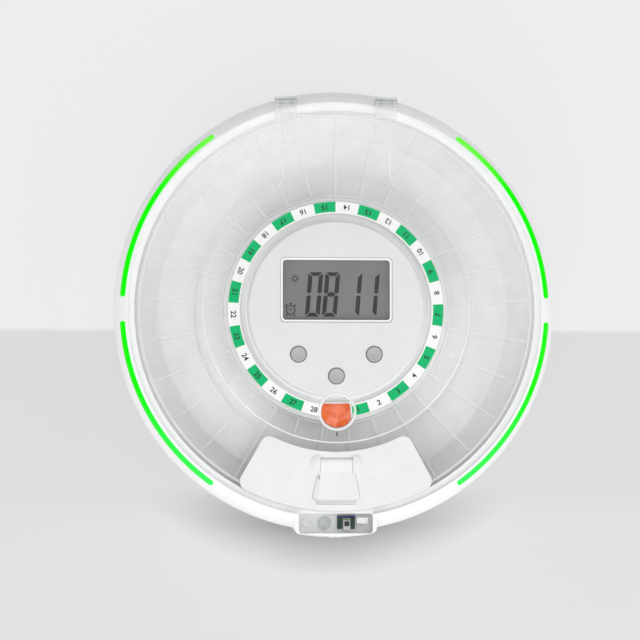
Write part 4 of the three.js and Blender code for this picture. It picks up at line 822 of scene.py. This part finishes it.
lens = {"y": -50.75, "seat": 52.22, "rimTop": 53.8, "radius": 9.3, "dome": 8.2, "crown": 2.8, "top": 55.8}


def plateauOutline(inset):
    r, half, fillet = lid["foot"] - inset, lid["neckHalf"] - inset, lid["fillet"]
    side = half + fillet
    meet = math.degrees(math.asin(side / (r + fillet)))
    height = (r + fillet) * math.cos(math.radians(meet))
    end = lid["neckEnd"] - inset
    return ([(-half, end)] + arc((-side, height), fillet, 0, meet - 90, 12)
            + arc((0, 0), r, 90 + meet, 450 - meet, 120)[1:-1]
            + arc((side, height), fillet, -90 - meet, -180, 12) + [(half, end)])


def plateauForm(inset, low):
    top = lid["plateau"] - inset
    bm = prism(plateauOutline(inset), low, top)
    cutAlong(bm, (0, lid["neckStart"], 0), (0, 1, 0))
    for v in bm.verts:
        if v.co.z > top - 1 and v.co.y > lid["neckStart"]:
            share = (v.co.y - lid["neckStart"]) / (lid["neckEnd"] - lid["neckStart"])
            v.co.z -= lid["neckDrop"] * share
    if not inset:
        rim = [e for e in sharpEdges(bm, 45) if min(v.co.z for v in e.verts) > 46]
        soften(bm, rim, 1.1, 4)
    return bm


def domeProfile(inset):
    low = lid["under"] if not inset else lid["under"] - 5
    step = lid["plateau"] - lid["step"] - inset
    rim = ([(lid["outer"], low), (lid["outer"], 44.5), (102.0, 44.8), (101.7, 44.9), (99.0, 45.08)] if not inset
           else [(lid["inner"], low)])
    return [(0, low)] + rim + [(lid["inner"], lid["rim"] - inset), (lid["foot"], step), (0, step)]


def makeLid():
    shell = shapeFrom(spun(domeProfile(0), 240, closed=False), "lidShell")
    carve(shell, plateauForm(0, 45), "UNION")
    hollow = shapeFrom(spun(domeProfile(lid["wall"]), 240, closed=False), "hollow")
    carve(hollow, plateauForm(lid["wall"], 42), "UNION")
    carve(shell, inMillimetres(hollow))
    carve(shell, boxed((-18.0, 18.0), (-110.3, -98.3), (42.4, 44.2)), "UNION")
    carve(shell, boxed((-1.6, 1.4), (98.9, 101.4), (44.5, 45.7), 0.25), "UNION")
    opening = spun([(0, 48), (8.9, 48), (8.9, 54), (0, 54)], 64, closed=False)  # the lens looks through a hole
    carve(shell, shifted(opening, 0, lens["y"]))
    half = 29.5 + math.degrees(0.3 / 70.5)
    carve(shell, prism(bandOutline(70.2, 99.9, -90 - half, -90 + half, 4.8), 41.8, 60))
    # painted highlights: paler bands on the plateau's sloping edge, on its steep walls at the back and on the outer
    # rim
    markRim(shell, 0.72, lambda at, way: at.z > 47 and 0.08 < way.z < 0.93 and math.hypot(at.x, at.y) < 98)
    markRim(shell, 0.4, lambda at, way: at.z > 46 and abs(way.z) < 0.08 and at.y > 40)
    markRim(shell, 0.3, lambda at, way: abs(way.z) < 0.5 and at.z < 46 and math.hypot(at.x, at.y) > 98)
    finishPiece(shell, clearLid, "lid", ["lid_shell"])


hinge = {"x": 25, "y": 103.4, "z": 46.5, "bore": 1.5, "half": 5.3, "root": (94.6, 100.5), "arm": 2.7,
         "ears": ((-5.5, -3.0), (3.0, 5.5))}


def makeHinges():
    # a grooved clear arm on the lid turns between two clear ears on the casing
    h = hinge
    for side, name in ((-1, "Left"), (1, "Right")):
        middle = side * h["x"]
        arm = prism([(97, 44.3)] + arc((h["y"], h["z"]), 2.5, -90, 90, 16) + [(97, 49.0)],
                    middle - h["arm"], middle + h["arm"], "YZ")
        soften(arm, sharpEdges(arm, 60), 0.3, 2)
        piece = shapeFrom(arm, "hingeArm" + name)
        carve(piece, boxed((middle - h["half"], middle + h["half"]), h["root"], (44.6, 48.9), 0.5, 3), "UNION")
        for y in (97.0, 99.0):
            carve(piece, boxed((middle - 9, middle + 9), (y - 0.25, y + 0.25), (48.5, 52)))
        carve(piece, rod(h["bore"], (middle - 7, middle + 7), h["y"], h["z"], 32))
        # the arm and the ears take the clear plastic with painted grey shade
        finishPiece(piece, hingeShadeLid, "lid")
        ears = None
        for a, b in h["ears"]:
            ear = prism([(100.8, 38.3), (106.0, 38.3)] + arc((h["y"], h["z"]), 2.6, 0, 180, 16),
                        middle + a, middle + b, "YZ")
            soften(ear, sharpEdges(ear, 60), 0.25, 2)
            if ears:
                carve(ears, ear, "UNION")
            else:
                ears = shapeFrom(ear, "hingeEars" + name)
        carve(ears, rod(h["bore"], (middle - 7, middle + 7), h["y"], h["z"], 32))
        finishPiece(ears, hingeShadeLid, "casing")


def skinLevel(r):
    return lid["rim"] + (lid["inner"] - r) / (lid["inner"] - lid["foot"]) * 5.7


gate = {"air": 0.14, "half": 7.8, "tab": 11.9, "back": 73.5, "neck": 80.8, "corner": 93.1, "scoop": 94.3,
        "front": 96.3, "pin": (-75.2, 49.73), "bore": 1.0, "fall": 0.1765, "rise": 1.6, "thick": 1.5,
        "wing": 7.7, "wingFall": 0.2, "slot": ((-8.9, -8.1), (-84.2, -82.0))}
boss = {"x": 9.4, "z": 49.6, "size": (3.3, 3.9, 1.35)}


def makePanel():
    low, high = 69.5, 100.6
    skin = [(low, skinLevel(low) - 1.7), (high, skinLevel(high) - 1.7), (high, skinLevel(high) + 0.5),
            (low, skinLevel(low) + 0.5)]
    panel = shapeFrom(spun(skin, 80, (-90 - 33, -90 + 33)), "frontPanel")
    carve(panel, prism(bandOutline(70.5, 99.6, -119.5, -60.5, 4.5, 10, 60), 40, 60), "INTERSECT")
    for side in (-1, 1):  # low swellings over the ends of the gate's pin
        bm = bmesh.new()
        bmesh.ops.create_uvsphere(bm, u_segments=40, v_segments=24, radius=1)
        bmesh.ops.scale(bm, verts=bm.verts, vec=boss["size"])
        bmesh.ops.translate(bm, verts=bm.verts, vec=(side * boss["x"], gate["pin"][0], boss["z"]))
        carve(panel, bm, "UNION")
    carve(panel, gateForm(gate["air"], 40, 60))
    carve(panel, rod(gate["bore"], (-11, 11), *gate["pin"], 24))
    rounded = panel.modifiers.new("edge", "BEVEL")
    rounded.width, rounded.segments, rounded.limit_method = 0.25 * mm, 2, "ANGLE"
    rounded.angle_limit = math.radians(50)
    finishPiece(panel, panelAbs, "lid", ["front_panel"])


def gateForm(air, low, high):
    g = gate
    side = [(-g["half"], -g["back"] + air), (-g["half"], -g["neck"]), (-9.4, -g["neck"] - 0.7),
            (-g["tab"], -g["corner"]), (-9.5, -g["scoop"] - 0.2)]
    side += [(x, y) for x, y in arc((-8.5, -g["front"] + 1.0 - air), 1.0, 180, 270, 5)]
    side = [(x - air, y) for x, y in side]
    return prism(side + [(-x, y) for x, y in side[::-1]], low, high)


def makeGate():
    g = gate
    bm = gateForm(0, 0, 1)
    cutAlong(bm, (0, -g["scoop"], 0), (0, 1, 0))
    cutAlong(bm, (-g["wing"], 0, 0), (1, 0, 0))
    for v in bm.verts:
        x, y = v.co.x, abs(v.co.y)
        level = g["pin"][1] - (y + g["pin"][0]) * g["fall"]
        if y > g["scoop"]:  # the finger lip rises towards the front
            level += g["rise"] * (y - g["scoop"]) / (g["front"] - g["scoop"])
        elif y > g["neck"] and x < -g["wing"]:
            level -= (-x - g["wing"]) * g["wingFall"]
        v.co.z = level if v.co.z > 0.5 else level - g["thick"]
    soften(bm, sharpEdges(bm, 25), 0.25, 2)
    piece = shapeFrom(bm, "gatePlate")
    ridge = flowThrough([(-80.5, 48.75), (-78.5, 49.75), (-76.3, 50.74), (-75.2, 50.95), (-74.2, 50.74),
                         (-73.6, 49.9)])
    carve(piece, prism([(-80.5, 47.6), *ridge, (-73.6, 48.2)], -g["half"], g["half"], "YZ"), "UNION")
    carve(piece, rod(g["bore"], (-11, 11), *g["pin"], 24))
    carve(piece, boxed(*g["slot"], (46.7, 52), 0.3))
    finishPiece(piece, panelAbs, "gate", ["pill_gate"])


def makeLens():
    seat, rimTop, radius, crown = lens["seat"], lens["rimTop"], lens["radius"], lens["crown"]
    rim = [(0, seat), (radius - 0.1, seat), (radius, seat + 0.1), (radius, 53.4), (9.1, 53.7), (8.9, rimTop),
           (lens["dome"], rimTop)]
    curve = (lens["dome"] ** 2 + crown ** 2) / (2 * crown)
    sweep = math.asin(lens["dome"] / curve)
    dome = [(curve * math.sin(sweep * (1 - i / 20)), lens["top"] - curve + curve * math.cos(sweep * (1 - i / 20)))
            for i in range(1, 21)]
    bm = shifted(spun(rim + dome, 96, closed=False), 0, lens["y"])
    finishPiece(shapeFrom(bm, "magnifier"), acrylic, "lid", ["magnifier_lens"])
    # the lens's turned rim gathers light: a painted highlight shows it as a pale ring
    collar = spun([(8.35, rimTop), (8.9, rimTop), (9.1, 53.7), (radius, 53.4), (radius, 52.3), (9.45, seat),
                   (9.45, 53.5), (9.2, 53.85), (8.9, 53.98), (8.35, 53.98)], 96)
    collar = shapeFrom(shifted(collar, 0, lens["y"]), "magnifierRim")
    markRim(collar, 0.7, lambda at, way: True)
    finishPiece(collar, clearLid, "lid")
    tick = printFlat([bar(0, -60.9, 0, -62.9, 0.55)], 52.21, "indexMark")
    finishPiece(tick, blackInk, "lid")


makeLid()
makeHinges()
makePanel()
makeGate()
makeLens()
print("lid made")


spring = {"x": -5.2, "y": -105.9, "low": 34.6, "high": 41.6, "foot": 3.45, "tip": 0.45, "wire": 0.42, "curls": 4.0}


def makeSpring():
    # conical coil, wide at the foot
    s = spring
    curve = bpy.data.curves.new("latchCoil", "CURVE")
    curve.dimensions, curve.bevel_depth, curve.bevel_resolution = "3D", s["wire"] / 2 * mm, 3
    curve.use_fill_caps = True
    count = int(s["curls"] * 32)
    line = curve.splines.new("POLY")
    line.points.add(count)
    for i in range(count + 1):
        t = i / count
        angle = t * s["curls"] * 2 * math.pi
        radius = s["foot"] + (s["tip"] - s["foot"]) * t
        point = (s["x"] + radius * math.cos(angle), s["y"] + radius * math.sin(angle),
                 s["low"] + (s["high"] - s["low"]) * t)
        line.points[i].co = tuple(c * mm for c in point) + (1,)
    coil = bpy.data.objects.new("latchCoil", curve)
    bpy.context.scene.collection.objects.link(coil)
    graph = bpy.context.evaluated_depsgraph_get()
    mesh = bpy.data.meshes.new_from_object(coil.evaluated_get(graph))
    bpy.data.objects.remove(coil)
    piece = bpy.data.objects.new("latchCoil", mesh)
    bpy.context.scene.collection.objects.link(piece)
    finishPiece(piece, springWire, "casing", ["latch_spring"])


switch = {"left": 1.3, "right": 10.1, "back": -102.0, "front": -108.6, "legInner": (3.9, 7.9), "crotch": -104.2,
          "board": (34.3, 35.4)}


def makeSwitch():
    # forked board with a header bar across its back and a small white switch between its legs
    w = switch
    a, b = w["legInner"]
    fork = [(w["left"], w["front"]), (w["left"], w["back"]), (w["right"], w["back"]), (w["right"], w["front"]),
            (b, w["front"]), (b, w["crotch"]), (a, w["crotch"]), (a, w["front"])]
    board = prism(fork, *w["board"])
    finishPiece(shapeFrom(board, "switchFork"), boardMask, "casing", ["switch_board"])
    bar = boxed((w["left"] + 0.1, w["right"] - 0.1), (w["back"] - 1.1, w["back"] - 0.1), (35.4, 37.6), 0.15)
    finishPiece(shapeFrom(bar, "headerBar"), navyNylon, "casing")
    shelf = boxed((a, b), (w["crotch"] + 0.1, w["back"] - 1.1), (35.4, 35.9), 0.1)
    finishPiece(shapeFrom(shelf, "solderShelf"), paleMask, "casing")
    body = boxed((a + 0.3, b - 0.3), (-109.2, w["crotch"] - 0.1), (34.05, 38.2), 0.3, 3)
    body = shapeFrom(body, "switchBody")
    carve(body, boxed((a + 0.75, b - 0.75), (-107.2, w["crotch"] - 0.5), (36.6, 40), 0.2))
    finishPiece(body, panelAbs, "casing")
    button = boxed((a + 0.85, b - 0.85), (-107.1, w["crotch"] - 0.6), (36.4, 39.6), 0.25, 3)
    button = shapeFrom(button, "switchButton")
    carve(button, boxed((a, b), (-105.9, -105.6), (39.1, 41)))
    finishPiece(button, blackNylon, "casing", ["lid_switch"])
    for i, x in enumerate((-14.2, 14.4)):  # screw bosses at the pocket's ends
        stub = spun([(0, 34.4), (1.0, 34.4), (1.15, 34.9), (1.9, 34.9), (2.1, 34.7), (2.1, 33.8), (0, 33.8)], 48,
                    closed=False)
        finishPiece(shapeFrom(shifted(stub, x, -105.6), "pocketBoss%d" % (i + 1)), whiteAbs, "casing")


def makeLock():
    k = lock
    barrel = shapeFrom(rod(k["barrel"], (k["seat"], k["back"]), 0, k["z"], 64, "Y"), "lockBarrel")
    face = rod(k["face"], (k["front"], k["seat"]), 0, k["z"], 64, "Y")
    soften(face, sharpEdges(face, 60), 0.15, 2)
    carve(barrel, face, "UNION")
    carve(barrel, boxed((-0.6, 0.6), (-114, -110), (k["z"] - 2.5, k["z"] + 2.5)))  # keyway
    finishPiece(barrel, platedLock, "lock", ["lock_barrel"])


makeSpring()
makeSwitch()
makeLock()
print("lock made")

# carried nodes get the finish of what they are
nodeFinishes = {
    "bottom_cover": whiteAbs, "battery_door": whiteAbs, "light_board": boardMask, "main_board": boardMask,
    "gear_motor": brightSteel, "drive_pinion": acetal, "tray_gear_ring": acetal,
    "buzzer": blackNylon, "button_pad": footRubber, "battery_contact_rear": brightSteel,
    "battery_contact_front": brightSteel, "gate_pin": brightSteel, "hinge_pin_left": brightSteel,
    "hinge_pin_right": brightSteel, "lock_cam": brightSteel, "lid_hook": panelAbs,
}
for i in range(1, 5):
    nodeFinishes["battery_%d" % i] = batteryJacket
    nodeFinishes["case_screw_%d" % i] = brightSteel
for name, finish in nodeFinishes.items():
    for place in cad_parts[name].material_slots:
        place.material = finish


stage = {"near": "DDDDDD", "far": "EEEEEE", "seam": -0.008, "size": 6.0, "plain": 0.8, "front": -0.118,
         "contact": 0.03}
lamps = {  # place, size and power
    "main": ((-0.45, -1.15, 1.0), 1.2, 9.8),
    "top": ((0.1, 0.05, 1.5), 1.0, 4.3),
    "right": ((1.0, -0.35, 0.6), 0.8, 4.0),
    "left": ((-1.0, -0.1, 0.6), 0.8, 1.2),
}


def seenShare(tree):
    # 1 where the camera sees it, straight or in a gloss or through glass, and 0 where it lights the object
    path = addNode(tree, "ShaderNodeLightPath")
    some = addNode(tree, "ShaderNodeMath", {"operation": "MAXIMUM"},
                   {0: path.outputs["Is Camera Ray"], 1: path.outputs["Is Glossy Ray"]})
    seen = addNode(tree, "ShaderNodeMath", {"operation": "MAXIMUM"},
                   {0: some.outputs["Value"], 1: path.outputs["Is Transmission Ray"]})
    return seen.outputs["Value"]


def makeStage():
    bm = bmesh.new()
    bmesh.ops.create_grid(bm, x_segments=1, y_segments=1, size=stage["size"])
    mesh = bpy.data.meshes.new("floor")
    bm.to_mesh(mesh)
    bm.free()
    floor = bpy.data.objects.new("floor", mesh)
    bpy.context.scene.collection.objects.link(floor)
    material, tree = startMaterial("paleFloor")
    place = addNode(tree, "ShaderNodeTexCoord").outputs["Object"]
    depth = addNode(tree, "ShaderNodeSeparateXYZ", links={"Vector": place})
    side = addNode(tree, "ShaderNodeMapRange", {"From Min": stage["seam"] - 0.001, "From Max": stage["seam"] + 0.001},
                   {"Value": depth.outputs["Y"]})
    tone = addNode(tree, "ShaderNodeValToRGB", links={"Fac": side.outputs["Result"]})
    for element, colour in zip(tone.color_ramp.elements, (stage["near"], stage["far"])):
        element.color = linear(colour)
    # in front the floor is lit and has a painted contact shadow, darker close to the object; elsewhere it is mostly
    # plain
    start, end = stage["front"] + 0.03, stage["front"] + 0.01
    ahead = addNode(tree, "ShaderNodeMapRange", {"From Min": start, "From Max": end}, {"Value": depth.outputs["Y"]})
    near = addNode(tree, "ShaderNodeAmbientOcclusion", {"Distance": stage["contact"], "samples": 16})
    shade = addNode(tree, "ShaderNodeMix", {"data_type": "RGBA"}, {0: ahead.outputs["Result"],
                                                                   7: near.outputs["Color"]})
    shade.inputs[6].default_value = (1, 1, 1, 1)
    colour = addNode(tree, "ShaderNodeMix", {"data_type": "RGBA", "blend_type": "MULTIPLY", 0: 1.0},
                     {6: tone.outputs["Color"], 7: shade.outputs[2]})
    skin = addNode(tree, "ShaderNodeBsdfPrincipled", {"Roughness": 0.9, "Specular IOR Level": 0.0},
                   {"Base Color": colour.outputs[2]})
    glow = addNode(tree, "ShaderNodeEmission", links={"Color": colour.outputs[2]})
    cover = addNode(tree, "ShaderNodeMapRange", {"To Min": stage["plain"], "To Max": 0.1},
                    {"Value": ahead.outputs["Result"]})
    share = addNode(tree, "ShaderNodeMath", {"operation": "MULTIPLY"},
                    {0: cover.outputs["Result"], 1: seenShare(tree)})
    mix = addNode(tree, "ShaderNodeMixShader", links={0: share.outputs["Value"], 1: skin.outputs["BSDF"],
                                                      2: glow.outputs["Emission"]})
    # seen from below the floor is clear, so that the underside can be looked at
    face = addNode(tree, "ShaderNodeNewGeometry")
    empty = addNode(tree, "ShaderNodeBsdfTransparent")
    whole = addNode(tree, "ShaderNodeMixShader", links={0: face.outputs["Backfacing"], 1: mix.outputs["Shader"],
                                                        2: empty.outputs["BSDF"]})
    endMaterial(tree, whole.outputs["Shader"])
    mesh.materials.append(material)
    for name, (place, size, power) in lamps.items():
        light = bpy.data.lights.new(name, "AREA")
        light.size, light.energy = size, power
        lamp = bpy.data.objects.new(name, light)
        lamp.location = place
        lamp.rotation_euler = (Vector((0, 0, 0.03)) - Vector(place)).to_track_quat("-Z", "Y").to_euler()
        bpy.context.scene.collection.objects.link(lamp)
    world = bpy.data.worlds.new("studio")
    bpy.context.scene.world = world
    world.use_nodes = True
    tree = world.node_tree
    tree.nodes.clear()
    power = addNode(tree, "ShaderNodeMapRange", {"To Min": 0.52, "To Max": 0.55}, {"Value": seenShare(tree)})
    sky = addNode(tree, "ShaderNodeBackground", {"Color": linear("F8F8F8")}, {"Strength": power.outputs["Result"]})
    addNode(tree, "ShaderNodeOutputWorld", links={"Surface": sky.outputs["Background"]})
    bpy.context.scene.view_settings.view_transform = "Standard"
    # a ray through the lid, the fins and the tray and back crosses up to two dozen clear faces
    bpy.context.scene.cycles.transparent_max_bounces = 32


makeStage()
print("stage set")
